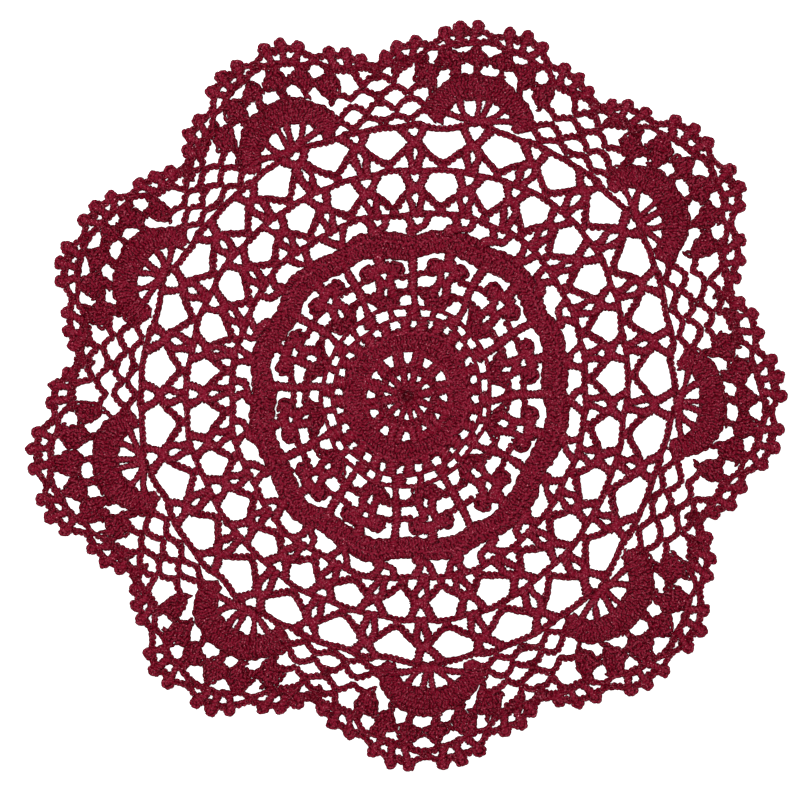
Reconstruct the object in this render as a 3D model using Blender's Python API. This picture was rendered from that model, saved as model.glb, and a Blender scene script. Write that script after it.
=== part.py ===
"""A round crocheted lace doily with nine fans, laid flat and face up: one flat solid, its gaps cut through.

The doily is charted as a crocheter would chart it: strands of stitches and areas of close stitches, each
given by the angle and radius at which it is worked, in chart units of 0.3 mm. place() then moves the chart to
where the blocked doily really lies, for it is far from even. Angles run clockwise from +Y, seen from above.
"""

import heapq

import bpy
import numpy as np
from mathutils import Vector
from mathutils.geometry import delaunay_2d_cdt

UNIT = 0.0003            # metres to one chart unit: a cord of chain stitches is 7 to 8 units wide
NET_THICK = 0.0017       # a cord of the open net, from the table up
BAND_THICK = 0.0024      # the close rounds: centre, band and crescents
KNOB_THICK = 0.0022      # clusters and picots
SMALLEST_GAP = 0.004     # shorter gaps stay closed in the solid
MOST_GAPS = 300
MOST_POINTS = 2670       # corners of the outline and the gaps together
PITCH = 0.75             # of the grid on which the cloth's edge is found, in units
FAR = 4.0                # units: distances to the edge are not told apart past this
YARN = (0.222, 0.008, 0.027)
FIRST_FAN, FIRST_SPOKE = 14.4, 2.3
# Radii on a fan's axis, its edging's turn and reach at four places, then the radii at the valley after it.
FANS = (
    # angle  net1 net2  hub crown | turn  far  left right far | net1   net2  valley
    (14.4, 215, 257, 283, 332, -1.0, 357, 380, 384, 368, 222.0, 266.0, 346),
    (52.5, 219, 270, 291, 342, -0.2, 372, 399, 399, 365, 209.5, 254.0, 337),
    (91.7, 204, 246, 271, 320, 0.8, 360, 378, 377, 347, 204.0, 243.0, 318),
    (135.0, 207, 250, 274, 324, -0.5, 350, 383, 382, 357, 210.5, 252.5, 330),
    (175.4, 209, 251, 272, 320, 1.8, 353, 375, 373, 343, 205.5, 245.5, 317),
    (217.1, 205, 246, 268, 318, 0.2, 343, 377, 379, 350, 202.5, 245.5, 327),
    (256.3, 205, 251, 273, 325, 0.2, 351, 385, 387, 357, 205.5, 247.0, 331),
    (295.8, 206, 249, 273, 322, 0.3, 352, 380, 372, 341, 207.5, 248.5, 320),
    (334.8, 205, 254, 273, 325, 0.2, 348, 377, 381, 355, 207.5, 251.5, 329),
)
# Angle, then the band's inner and outer radius a third and four fifths of the way to the next spoke,
# then how far the trellis below is turned and the radii of its two chain rings.
SPOKES = (
    # angle   in  out |  in  out | turn ring1 ring2
    (2.3, 146, 171, 146, 173, 1.2, 79.0, 89.5),
    (31.2, 153, 176, 143, 168, 0.2, 80.5, 90.0),
    (59.4, 143, 168, 135, 162, 0.9, 76.0, 87.0),
    (89.4, 139, 164, 134, 161, 2.8, 73.0, 82.0),
    (121.7, 140, 166, 144, 170, 2.5, 73.5, 82.5),
    (154.0, 146, 170, 140, 165, 1.0, 76.0, 86.0),
    (185.2, 147, 171, 140, 166, 0.6, 79.5, 91.0),
    (214.0, 143, 169, 138, 162, -0.5, 80.5, 90.5),
    (242.3, 138, 162, 132, 159, 0.5, 76.0, 86.5),
    (274.0, 140, 162, 134, 160, -0.2, 73.5, 85.0),
    (306.3, 141, 167, 139, 165, -1.5, 74.0, 86.0),
    (334.0, 142, 169, 136, 165, -0.3, 74.5, 87.5),
)
# The three columns of the net to a fan: angles of foot, first and second crossing, column by column.
COLUMNS = (
    # foot first second | foot first second | foot first second
    (18.1, 16.0, 14.9, 30.9, 28.3, 28.3, 40.1, 40.2, 40.5),
    (48.3, 51.5, 52.4, 61.9, 64.0, 64.9, 77.2, 77.7, 77.7),
    (91.3, 92.4, 91.9, 107.9, 107.8, 107.0, 122.7, 122.8, 121.6),
    (138.8, 136.2, 134.9, 153.5, 148.6, 148.8, 164.5, 163.5, 162.8),
    (173.8, 176.9, 176.1, 187.2, 189.7, 189.8, 202.8, 203.8, 203.3),
    (214.7, 217.1, 217.0, 230.2, 230.7, 230.7, 243.4, 244.3, 243.4),
    (258.9, 257.2, 256.3, 273.3, 270.2, 269.9, 283.3, 283.1, 282.9),
    (292.3, 295.8, 295.9, 307.2, 308.6, 309.6, 322.0, 322.5, 321.5),
    (335.3, 335.8, 334.8, 350.4, 348.5, 348.8, 363.4, 362.1, 361.5),
)
RING1, RING2 = 76.4, 87.0
BAND_IN, BAND_OUT, NET1, NET2, HUB, CROWN = 141.0, 166.5, 206.0, 250.0, 273.0, 324.0
# Angle from a fan's axis and charted radius of the places that FANS gives the reach of.
REACH = ((-15.3, 352.6), (-5.4, 386.5), (5.4, 386.5), (15.3, 352.6), (20.0, 329.5))


def around(values, first, x):
    """A smooth closed curve through values spaced evenly from the angle first, read at the angles x."""
    v = np.asarray(values, float)
    n = len(v)
    t = (np.asarray(x, float) - first) / (360.0 / n)
    i = np.floor(t).astype(int)
    f = t - i
    a, b, c, d = (v[(i + k) % n] for k in (-1, 0, 1, 2))
    return 0.5 * (2 * b + (c - a) * f + (2 * a - 5 * b + 4 * c - d) * f**2
                  + (3 * b - a - 3 * c + d) * f**3)


def smooth(t):
    t = np.clip(t, 0.0, 1.0)
    return t * t * (3 - 2 * t)


def place(a, r):
    """Chart angle in degrees and radius to x, y in chart units on the finished, unevenly blocked doily."""
    a, r = np.asarray(a, float), np.asarray(r, float)
    t, m = np.array(FANS, float), np.array(SPOKES, float)
    outer = around(t[:, 0] - FIRST_FAN - 40.0 * np.arange(9), FIRST_FAN, a)
    inner = around(m[:, 0] - FIRST_SPOKE - 30.0 * np.arange(12), FIRST_SPOKE, a)
    turn = inner + (outer - inner) * smooth((r - 150.0) / 40.0)
    trellis = smooth((r - 45.0) / 20.0) * (1 - smooth((r - 85.0) / 25.0))
    turn = turn + around(m[:, 5], FIRST_SPOKE, a) * trellis
    net = np.array(COLUMNS, float).reshape(27, 3) - (FIRST_FAN + 40 / 3 * np.arange(27))[:, None]
    foot, first, second = (around(v, FIRST_FAN, a) for v in net.T)
    steps = ((BAND_OUT, 171.0, foot), (171.0, 205.0, first), (205.0, 250.0, second), (250.0, 268.0, outer))
    for r0, r1, v in steps:
        turn = turn + (v - turn) * np.clip((r - r0) / (r1 - r0), 0.0, 1.0)
    turn = turn + around(t[:, 5], FIRST_FAN, a) * smooth((r - 285.0) / 60.0)

    def at(fan, valley):
        return around(np.ravel(np.column_stack([fan, valley])), FIRST_FAN, a)

    where = np.array([FIRST_FAN + 40 * k + d for k in range(9) for d, _ in REACH])
    rim = t[:, [6, 7, 8, 9, 12]] / [q for _, q in REACH]
    crown = rim.copy()
    crown[:, 1] = crown[:, 2] = t[:, 4] / CROWN
    rim, crown = (np.interp(a, where, np.ravel(s), period=360) for s in (rim, crown))
    one = np.ones_like(a)
    levels = (
        (0.0, one), (50.0, one),
        (68.0, around(m[:, 6], FIRST_SPOKE, a) / RING1), (RING1, around(m[:, 6], FIRST_SPOKE, a) / RING1),
        (RING2, around(m[:, 7], FIRST_SPOKE, a) / RING2),
        (BAND_IN, around(np.ravel(m[:, [1, 3]]), FIRST_SPOKE + 9.5, a) / BAND_IN),
        (BAND_OUT, around(np.ravel(m[:, [2, 4]]), FIRST_SPOKE + 9.5, a) / BAND_OUT),
        (NET1, at(t[:, 1], t[:, 10]) / NET1),
        (NET2, at(t[:, 2], t[:, 11]) / NET2),
        (HUB, at(t[:, 3] / HUB, 0.5 * (t[:, 11] / NET2 + t[:, 12] / REACH[-1][1]))),
        (CROWN, crown), (365.0, rim), (500.0, rim),
    )
    scale = one * 0
    for (r0, s0), (r1, s1) in zip(levels, levels[1:]):
        f = (r - r0) / (r1 - r0)
        scale = np.where((r >= r0) & (r < r1), s0 + (s1 - s0) * f, scale)
    b = np.radians(a + turn)
    return ease(r * scale * np.sin(b), r * scale * np.cos(b))


RNG = np.random.default_rng(27)
WAVES = [(RNG.uniform(0.035, 0.16), RNG.uniform(0, 2 * np.pi), RNG.uniform(0, 2 * np.pi),
          RNG.uniform(0, 2 * np.pi)) for _ in range(14)]
SLACK = 0.3


def ease(x, y):
    """Small slow shifts, as of hand tension, that move neighbouring stitches together."""
    dx = sum(np.sin(k * (x * np.cos(d) + y * np.sin(d)) + p) for k, d, p, q in WAVES)
    dy = sum(np.sin(k * (x * np.cos(d) + y * np.sin(d)) + q) for k, d, p, q in WAVES)
    w = SLACK * smooth((np.hypot(x, y) - 15) / 60)
    return x + w * dx, y + w * dy


def pol(u, v):
    return np.degrees(np.arctan2(u, v)), np.hypot(u, v)


def bend(points, step=2.5):
    """A smooth open curve through the points."""
    p = np.asarray(points, float)
    if len(p) < 3:
        n = max(int(np.ceil(np.hypot(*(p[1] - p[0])) / step)), 1)
        return p[0] + (p[1] - p[0]) * np.linspace(0, 1, n + 1)[:, None]
    q = np.vstack([2 * p[0] - p[1], p, 2 * p[-1] - p[-2]])
    out = []
    for i in range(len(p) - 1):
        a, b, c, d = q[i:i + 4]
        n = max(int(np.ceil(np.hypot(*(c - b)) / step)), 1)
        f = (np.arange(n) / n)[:, None]
        out.append(0.5 * (2 * b + (c - a) * f + (2 * a - 5 * b + 4 * c - d) * f**2
                          + (3 * b - a - 3 * c + d) * f**3))
    out.append(p[-1:])
    return np.vstack(out)


class Chart:
    def __init__(self):
        self.strands = []   # (kind, width, Nx2 xy in units)
        self.areas = []     # (kind, Nx2 polygon)

    def uv(self, kind, width, turn, points, mirror=False, step=2.5):
        for s in ((1, -1) if mirror else (1,)):
            p = bend([(s * u, v) for u, v in points], step)
            a, r = pol(p[:, 0], p[:, 1])
            self.strands.append((kind, width, np.column_stack(place(a + turn, r))))

    def ring(self, kind, width, radius, a0, a1, step=1.0):
        n = max(int(np.ceil((a1 - a0) / step)), 2)
        a = np.linspace(a0, a1, n + 1)
        r = radius(a) if callable(radius) else np.full(n + 1, float(radius))
        self.strands.append((kind, width, np.column_stack(place(a, r))))

    def polar(self, kind, width, turn, points, step=2.5, mirror=False):
        pts = [(r * np.sin(np.radians(a)), r * np.cos(np.radians(a))) for a, r in points]
        self.uv(kind, width, turn, pts, mirror, step)

    def area(self, kind, turn, points, mirror=False, step=3.0):
        for s in ((1, -1) if mirror else (1,)):
            p = np.array([(s * u, v) for u, v in points], float)
            p = np.vstack([bend([p[i], p[(i + 1) % len(p)]], step)[:-1] for i in range(len(p))])
            a, r = pol(p[:, 0], p[:, 1])
            self.areas.append((kind, np.column_stack(place(a + turn, r))))


def band_outer(a):
    return BAND_OUT - 4.0 * np.abs(np.cos(np.radians((a - FIRST_SPOKE) * 6.0)))**6


def band_inner(a):
    return BAND_IN - 2.5 * np.abs(np.cos(np.radians((a - FIRST_SPOKE) * 6.0)))**6


def chart():
    c = Chart()
    centre(c)
    for k in range(12):
        motif(c, FIRST_SPOKE + 15 + 30 * k)
    c.ring("chain", 4.6, RING1, 0, 360, 2)
    c.ring("chain", 5.2, RING2, 0, 360, 2)
    a = np.arange(0, 360, 1.5)
    c.areas.append(("band_out", np.column_stack(place(a, band_outer(a)))))
    c.areas.append(("band_in", np.column_stack(place(a, band_inner(a)))))
    for k in range(27):
        column(c, FIRST_FAN + 40 / 3 * k)
    c.ring("chain", 7.0, 181.0, 0, 360)
    c.ring("chain", 6.8, 222.5, 0, 360)
    for k in range(9):
        fan(c, FIRST_FAN + 40 * k)
        valley(c, FIRST_FAN + 40 * k + 20)
    return c


# The two rounds of twelve small gaps near the centre, slits and then kites: angle, width, each kite's ends.
GAPS = (
    # slit wide | kite wide  in   out
    (4, 3, 0, 8, 33, 44),
    (33, 2, 30, 8.5, 33, 42),
    (64, 3, 60, 8, 32, 42),
    (97, 3, 92, 9.5, 31.5, 40),
    (129, 3, 124, 7.5, 31.5, 38),
    (160, 3, 153, 4, 33, 38),
    (183, 2, 181, 8.5, 36, 45),
    (210, 3.5, 213, 7, 36.5, 46),
    (241, 3.5, 242, 8, 33, 41),
    (275, 2, 272, 9, 32, 41),
    (304, 3, 303, 8, 31, 41),
    (334, 2.5, 332, 8, 32.5, 43),
)


def centre(c):
    a = np.arange(0, 360, 6.0)
    c.areas.append(("disc", np.column_stack(place(a, 0 * a + 15.4))))
    c.ring("solid", 9.2, 27.4, 0, 360, 3)
    c.ring("solid", 22.6, 56.5, 0, 360, 3)

    def free(width, angles, radii):
        t = np.radians(angles)
        c.strands.append(("post", width, np.column_stack([radii * np.sin(t), radii * np.cos(t)])))

    for k in range(12):
        slit, wide, kite, span, low, high = GAPS[k]
        next_slit, next_wide, next_kite, next_span = GAPS[(k + 1) % 12][:4]
        turn = (next_slit - slit) % 360
        across = np.radians(turn) * 18.5 - (wide + next_wide) / 2
        free(across, slit + turn / 2 + np.zeros(4), np.linspace(12, 25, 4))
        turn = (next_kite - kite) % 360
        across = np.radians(turn) * 38.0 - (span + next_span) / 2
        for side in (-1, 1):
            free(across / 2 + 0.8, kite + turn / 2 + side * np.degrees(across / 4 / np.linspace(31, 46, 6)),
                 np.linspace(31, 46, 6))
        arc = kite + np.linspace(-9, 9, 5)
        if low > 32.4:
            free(low - 30.6, arc, (low + 30.6) / 2 + np.zeros(5))
        if high < 45.0:
            free(46.8 - high, arc, (46.8 + high) / 2 + np.zeros(5))


def motif(c, x):
    """One of the twelve cluster motifs, with the trellis below it and the spoke after it."""
    for s in (-7.4, 7.4):
        c.polar("post", 10.0, x + s, [(0, 66), (0, RING1 - 3.5)])
    c.polar("post", 6.6, x, [(0, RING1), (0, RING2)])
    c.polar("post", 12.0, x + 15, [(0, RING1 + 4.0), (0, RING2 - 3.0)])
    c.polar("spoke", 7.0, x + 15, [(1.5, 86), (1.4, 98), (0.5, 110)])
    c.polar("spoke", 8.6, x + 15, [(0.5, 108), (0, 122), (0, 147)])
    c.area("cluster", x, [(-8, 85.5), (8, 85.5), (12.5, 93), (18.5, 101), (14, 107), (6, 105), (1.5, 101),
                          (-5, 105), (-14, 107), (-21.5, 101), (-14, 93)])
    c.uv("post", 8.6, x, [(-7.2, 102), (-5.0, 109), (-4.4, 117), (-7.8, 124), (-13, 126)])
    c.uv("post", 8.6, x, [(8.0, 102), (7.8, 109), (6.4, 117), (8.8, 124), (13, 128)])
    c.uv("post", 8.6, x, [(-4.5, 115), (5, 115)])
    c.uv("post", 10.0, x, [(0, 128), (0, 144)])
    c.uv("popcorn", 16.0, x, [(-16, 124.5), (-11.5, 127.5)])
    c.uv("popcorn", 16.0, x, [(17.5, 127.5), (12, 129.5)])
    c.uv("popcorn", 10, x, [(-7, 128), (0, 130.5), (7, 131.5)])
    c.uv("chain", 7.4, x, [(-16, 103.5), (-22, 103.5), (-28.5, 102)], True)
    c.uv("chain", 7.0, x, [(-17, 120.5), (-24.5, 119), (-31, 116)], True)


def column(c, x):
    """One of the 27 columns of the net: three V stitches, two crossings between them, and the chain arcs."""
    h = 20 / 3
    for s in (-1, 1):
        c.polar("post", 7.4, x, [(s * 0.2, 163.5), (s * 1.75, 171), (s * 3.4, 181.5)])
        c.polar("post", 7.4, x, [(s * 0.85, 181), (s * 1.05, 190), (s * 1.85, 198), (s * 1.3, 205)])
        c.polar("post", 8.4, x, [(s * 0.1, 205), (s * 1.65, 211), (s * 2.95, 222)])
        c.polar("post", 7.9, x, [(s * 0.7, 222), (s * 0.95, 231), (s * 1.6, 239.5), (s * 1.2, 248)])
        c.polar("post", 8.4, x, [(s * 0.1, 250), (s * 1.35, 256), (s * 2.45, 266)])
    c.polar("post", 8.0, x, [(-1.1, 204.8), (1.1, 204.8)])
    c.polar("post", 8.0, x, [(-0.9, 249.8), (0.9, 249.8)])
    c.polar("post", 5.2, x, [(h - 1.15, 184.9), (h + 1.15, 184.9)])
    c.polar("post", 5.2, x, [(h - 0.75, 226.7), (h + 0.75, 226.7)])
    c.polar("chain", 8.4, x, [(0.9, 203.6), (3.2, 197.4), (h, 188.2), (2 * h - 3.2, 197.8),
                              (2 * h - 0.9, 203.6)])
    c.polar("chain", 8.0, x, [(0.8, 248.6), (3.0, 240.8), (h, 229.8), (2 * h - 3.0, 241.4),
                              (2 * h - 0.8, 248.6)])


def ell(b, out=0.0, centre=272.0):
    """A point of the fan's crescent, b degrees from its axis; out is 0 on the inner edge, 1 on the outer."""
    b = np.radians(b)
    out = out * (1.0 - 0.45 * smooth((np.abs(b) - 1.36) / 0.3))
    return (32.7 + 22.8 * out) * np.sin(b), centre + (22.8 + 29.2 * out) * np.cos(b)


CLUSTERS = (  # outline of each of a fan's six clusters, across and up from the fan's axis
    ((-54, 292), (-49, 291), (-48, 298), (-46.5, 302), (-47, 311), (-44.5, 317), (-36.5, 319.5), (-44, 326),
     (-51.5, 324.5), (-59.5, 325.5), (-61.5, 333), (-63.5, 335), (-64, 327), (-74, 321), (-73, 311),
     (-73, 303.5), (-67, 300.5), (-57, 301)),
    ((-35.5, 313), (-26.5, 316.5), (-25.5, 324), (-25, 330), (-22.5, 333.5), (-28, 343), (-38.6, 349.3),
     (-41, 354), (-50, 348.5), (-51.5, 341), (-52, 325.5), (-44, 325.5), (-36.5, 319.5)),
    ((-14.5, 321.5), (-5.5, 322), (-5.5, 331), (-2.5, 335.5), (1.5, 337), (0, 346), (-9.2, 358.5),
     (-9.5, 363), (-15, 361), (-16.8, 356.5), (-19, 353), (-27.5, 343), (-22.5, 333.5), (-14.5, 332)),
    ((11.5, 321.5), (18.5, 320.5), (18.5, 328), (22, 330.5), (26.5, 333), (27.4, 344), (25, 351), (25, 358),
     (24, 362), (11, 362), (10.5, 358), (6.5, 352.5), (0, 346), (1.5, 337), (7.5, 334.5), (11.5, 330.5)),
    ((33, 314), (39.6, 308.5), (40, 315.7), (45.5, 319), (50.5, 325.6), (51.5, 335.5), (55, 338),
     (51.5, 343), (47.5, 349.5), (41, 354), (39.5, 350), (37.5, 345.6), (27.4, 342.5), (26.5, 333),
     (31.5, 323)),
    ((50, 293), (55, 298.5), (54, 301.5), (49.5, 308), (48.8, 316.5), (45.5, 319), (50.5, 325.5),
     (60, 324.5), (64.9, 326.2), (65.5, 335), (69, 335), (72.5, 322), (71.5, 311), (67.5, 303), (62, 297),
     (56, 293)),
)
PICOTS = (  # ball, then the foot of its post
    (16.8, 380.9, 19.5, 363.0),
    (35.6, 378.4, 32.0, 361.0),
    (51.5, 366.6, 42.5, 355.0),
    (76.6, 343.4, 76.5, 326.0),
    (92.0, 333.8, 87.5, 321.0),
    (103.0, 321.4, 97.5, 316.0),
)


def fan(c, x):
    c.uv("hub", 7.5, x, [(-4.5, 272.7), (4.5, 272.7)])
    c.uv("post", 5.6, x, [(-2.0, 275), (-2.6, 288), (-3.8, 300)])
    c.uv("post", 6.6, x, [(2.0, 275), (4.6, 286), (7.0, 296)])
    c.uv("post", 6.4, x, [(-4, 273.5), (-12, 277.4), (-18.5, 284.5), (-22, 291)], True)
    c.uv("post", 6.4, x, [(-5, 272.6), (-16, 275.2), (-26, 277.6), (-33, 279.4)], True)
    c.uv("chain", 7.2, x, [(3, 271.5), (10, 269.2), (20, 266.6), (32, 264.4), (44, 261.8), (55, 261)], True)
    c.polar("chain", 7.2, x, [(11.9, 266.8), (13.33, 267.8), (20, 267.8), (26.67, 267.8), (28.1, 266.8)])
    b = np.linspace(-96, 96, 40)
    c.area("crescent", x, [ell(t, 1.0) for t in b] + [ell(t, 0.0) for t in b[::-1]])
    for outline in CLUSTERS:
        c.area("cluster", x, outline)
    c.uv("chain", 7.8, x, [(0, 367.7), (8, 365.6), (18, 362.2), (30, 359.8), (35, 357.5)], True)
    c.uv("chain", 6.4, x, [(34, 358), (40.5, 352.5), (50, 345), (60, 342), (66, 335), (70, 327)], True)
    c.uv("chain", 9.6, x, [(69, 326), (80, 321.5), (91, 316.5), (103, 314.5), (110.5, 308)], True)
    c.uv("chain", 8.0, x, [(-91, 309), (-84, 312.5), (-77, 319.5)])
    c.uv("chain", 6.6, x, [(0, 371.5), (8, 375), (16.5, 378)], True)
    c.uv("chain", 9.4, x, [(16.5, 376), (36, 373)], True)
    c.uv("chain", 7.8, x, [(36, 373.5), (47, 366.5), (55, 356.5), (61, 346.5), (69, 343.5), (77, 340),
                           (92, 331), (101, 319), (109, 311)], True)
    for u, v, f, g in PICOTS:
        c.uv("post", 7.2, x, [(f, g), (u, v - 3)], True)
        c.uv("picot", 12.4, x, [(u, v), (u, v + 0.5)], True)


def valley(c, x):
    """The diamond net between two fans, across and up from the valley's axis."""
    w = 7.3
    c.uv("chain", w, x, [(0, 275), (6, 277), (14.5, 280.3), (22, 277), (28.5, 272), (35, 275), (43, 278),
                         (52, 272)], True)
    c.uv("chain", w, x, [(0, 295), (8, 292), (14.5, 285.6), (21, 291), (29, 293.4), (37, 290), (43.5, 282),
                         (49, 287)])
    c.uv("chain", w, x, [(0, 295), (-8, 292), (-14.5, 285), (-21, 290), (-29, 292), (-36.5, 286.5),
                         (-43.5, 280), (-49, 284)])
    c.uv("chain", w, x, [(0, 301), (6, 304), (14.5, 308.0), (23, 305), (29, 299), (36, 303), (50, 305)],
                         True)
    c.uv("chain", w, x, [(0, 320.5), (8, 318.5), (15, 312.5), (20, 321), (24.5, 329)], True)
    c.uv("chain", w, x, [(0, 320), (0, 328)])


# ---- the chart's edge ----


def polygon_field(outline, grid):
    """Signed distance to an outline near it, and +-FAR away from it; negative inside."""
    p, q = outline, np.roll(outline, -1, axis=0)
    inside = np.zeros(grid.shape, bool)
    for (ax, ay), (bx, by) in zip(p, q):
        if ay == by:
            continue
        rows = np.nonzero((grid.ys >= min(ay, by)) & (grid.ys < max(ay, by)))[0]
        cross = ax + (grid.ys[rows] - ay) * (bx - ax) / (by - ay)
        first = np.searchsorted(grid.xs, cross)
        for row, column in zip(rows, first):
            inside[row, column:] ^= True
    near = np.full(grid.shape, FAR)
    for a, b in zip(p, q):
        grid.add_segment(near, a, b, 0.0)
    near = np.minimum(near, FAR)
    return np.where(inside, -near, near)


class Grid:
    """A square grid over the chart that holds the signed distance to the cloth's edge."""

    def __init__(self, reach, pitch):
        self.pitch = pitch
        n = int(reach / pitch)
        self.xs = self.ys = np.arange(-n, n + 1) * pitch
        self.shape = (len(self.ys), len(self.xs))
        self.cloth = np.full(self.shape, FAR)

    def add_segment(self, field, a, b, half):
        out = half + FAR
        i = slice(*np.searchsorted(self.xs, (min(a[0], b[0]) - out, max(a[0], b[0]) + out)))
        j = slice(*np.searchsorted(self.ys, (min(a[1], b[1]) - out, max(a[1], b[1]) + out)))
        x, y = self.xs[i][None, :] - a[0], self.ys[j][:, None] - a[1]
        dx, dy = b[0] - a[0], b[1] - a[1]
        t = np.clip((x * dx + y * dy) / max(dx * dx + dy * dy, 1e-9), 0.0, 1.0)
        d = np.hypot(x - t * dx, y - t * dy) - half
        field[j, i] = np.minimum(field[j, i], d)


def cloth_grid(drawn):
    grid = Grid(425.0, PITCH)
    areas = {kind: outline for kind, outline in drawn.areas if kind.startswith("band")}
    band = np.maximum(polygon_field(areas["band_out"], grid), -polygon_field(areas["band_in"], grid))
    grid.cloth = np.minimum(grid.cloth, band)
    for kind, outline in drawn.areas:
        if not kind.startswith("band"):
            grow = 0.7 if kind == "cluster" else 0.0
            grid.cloth = np.minimum(grid.cloth, polygon_field(outline, grid) - grow)
    for kind, width, line in drawn.strands:
        for a, b in zip(line, line[1:]):
            grid.add_segment(grid.cloth, a, b, width / 2.0)
    return grid


def loops_of(grid):
    """The closed lines where the cloth ends, each an Nx2 array in chart units, with the cloth on the left."""
    f = np.where(grid.cloth == 0, 1e-6, grid.cloth)
    solid = f < 0
    ends = {}

    def cut(kind, j, i):
        """The point where the edge crosses a grid line: kind 0 runs along x from (j, i), kind 1 along y."""
        a = f[j, i]
        b = f[j, i + 1] if kind == 0 else f[j + 1, i]
        t = a / (a - b)
        x, y = grid.xs[i], grid.ys[j]
        return (x + t * grid.pitch, y) if kind == 0 else (x, y + t * grid.pitch)

    code = (solid[:-1, :-1] * 1 + solid[:-1, 1:] * 2 + solid[1:, 1:] * 4 + solid[1:, :-1] * 8)
    side = {"b": (0, 0, 0), "r": (1, 0, 1), "t": (0, 1, 0), "l": (1, 0, 0)}   # kind, step in y, step in x
    turns = {1: ("bl",), 2: ("rb",), 3: ("rl",), 4: ("tr",), 5: ("bl", "tr"), 6: ("tb",), 7: ("tl",),
             8: ("lt",), 9: ("bt",), 10: ("rb", "lt"), 11: ("rt",), 12: ("lr",), 13: ("br",), 14: ("lb",)}
    for j, i in zip(*np.nonzero((code > 0) & (code < 15))):
        for start, end in turns[code[j, i]]:
            (k, dj, di), (m, ej, ei) = side[start], side[end]
            ends[(k, j + dj, i + di)] = (m, j + ej, i + ei)
    loops = []
    while ends:
        first, nxt = ends.popitem()
        keys = [first]
        while nxt != first:
            keys.append(nxt)
            nxt = ends.pop(nxt)
        loops.append(np.array([cut(*key) for key in keys]))
    return loops


def area_of(p):
    x, y = p[:, 0], p[:, 1]
    return 0.5 * float(np.sum(x * np.roll(y, -1) - y * np.roll(x, -1)))


def extent_of(p):
    turns = np.radians(np.arange(0, 180, 10))
    across = p @ np.array([np.cos(turns), np.sin(turns)])
    return float((across.max(axis=0) - across.min(axis=0)).max())


def thin_out(loops, most, fewest=5):
    """Drops the corner that changes the shape least, over and over, until this many corners are left in all.

    A corner stays where dropping it would take its edge across a corner of the same or another loop.
    """
    before = [np.roll(np.arange(len(p)), 1) for p in loops]
    after = [np.roll(np.arange(len(p)), -1) for p in loops]
    first = np.cumsum([0] + [len(p) for p in loops])
    alive = np.ones(first[-1], bool)
    points = np.vstack(loops)
    count = [len(p) for p in loops]

    def weight(n, i):
        a, b, c = loops[n][before[n][i]], loops[n][i], loops[n][after[n][i]]
        return abs((b[0] - a[0]) * (c[1] - a[1]) - (c[0] - a[0]) * (b[1] - a[1]))

    def blocked(n, i):
        a, b, c = loops[n][before[n][i]], loops[n][i], loops[n][after[n][i]]
        low, high = np.min([a, b, c], axis=0) - 0.3, np.max([a, b, c], axis=0) + 0.3
        spots = points[alive & (points >= low).all(axis=1) & (points <= high).all(axis=1)]
        own = (spots == a).all(axis=1) | (spots == b).all(axis=1) | (spots == c).all(axis=1)
        spots = spots[~own]
        if not len(spots):
            return False
        d = c - a
        across = (spots - a) @ np.array([-d[1], d[0]]) / max(np.hypot(*d), 1e-9)
        tip = (b - a) @ np.array([-d[1], d[0]]) / max(np.hypot(*d), 1e-9)
        return bool(((across * np.sign(tip) > -0.3) & (across * np.sign(tip) < abs(tip))).any())

    queue = [(weight(n, i), n, i) for n in range(len(loops)) for i in range(len(loops[n]))]
    heapq.heapify(queue)
    total = len(points)
    while total > most and queue:
        w, n, i = heapq.heappop(queue)
        if not alive[first[n] + i] or count[n] <= fewest:
            continue
        now = weight(n, i)
        if now > w + 1e-9:
            heapq.heappush(queue, (now, n, i))
            continue
        if now > 0.4 and blocked(n, i):
            continue
        alive[first[n] + i] = False
        b, a = before[n][i], after[n][i]
        after[n][b], before[n][a] = a, b
        count[n] -= 1
        total -= 1
        for k in (b, a):
            heapq.heappush(queue, (max(weight(n, k), w), n, k))
    return [p[alive[s:s + len(p)]] for p, s in zip(loops, first)]


def thickness(x, y, drawn):
    """How high the cloth stands above the table, in metres, at points in chart units."""
    thick = np.full(len(x), NET_THICK)
    r = np.hypot(x, y)
    a = np.degrees(np.arctan2(x, y))
    close = ((r < 69) & (r > 43)) | (r < 35)
    rounds = {}
    for edge, nominal in (("in", band_inner(a)), ("out", band_outer(a))):
        px, py = place(a, nominal)
        rounds[edge] = np.hypot(px, py)
    close |= (r > rounds["in"] - 4) & (r < rounds["out"] + 4)
    thick[close] = BAND_THICK
    point = np.column_stack([x, y])
    for kind, outline in drawn.areas:
        if kind not in ("crescent", "cluster"):
            continue
        spot = np.abs(point - outline.mean(axis=0)).max(axis=1) < 80
        for n in np.nonzero(spot)[0]:
            if np.hypot(*(outline - point[n]).T).min() < 3.5:
                thick[n] = max(thick[n], BAND_THICK if kind == "crescent" else KNOB_THICK)
    for kind, width, line in drawn.strands:
        if kind in ("picot", "popcorn"):
            near = np.hypot(x - line[0, 0], y - line[0, 1]) < width * 0.5 + 1.5
            thick[near] = np.maximum(thick[near], KNOB_THICK)
    return thick


def cloth_material():
    mat = bpy.data.materials.new("crimson_cotton")
    mat.use_nodes = True
    shader = mat.node_tree.nodes["Principled BSDF"]
    shader.inputs["Base Color"].default_value = (*YARN, 1.0)
    shader.inputs["Roughness"].default_value = 0.75
    return mat


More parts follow.
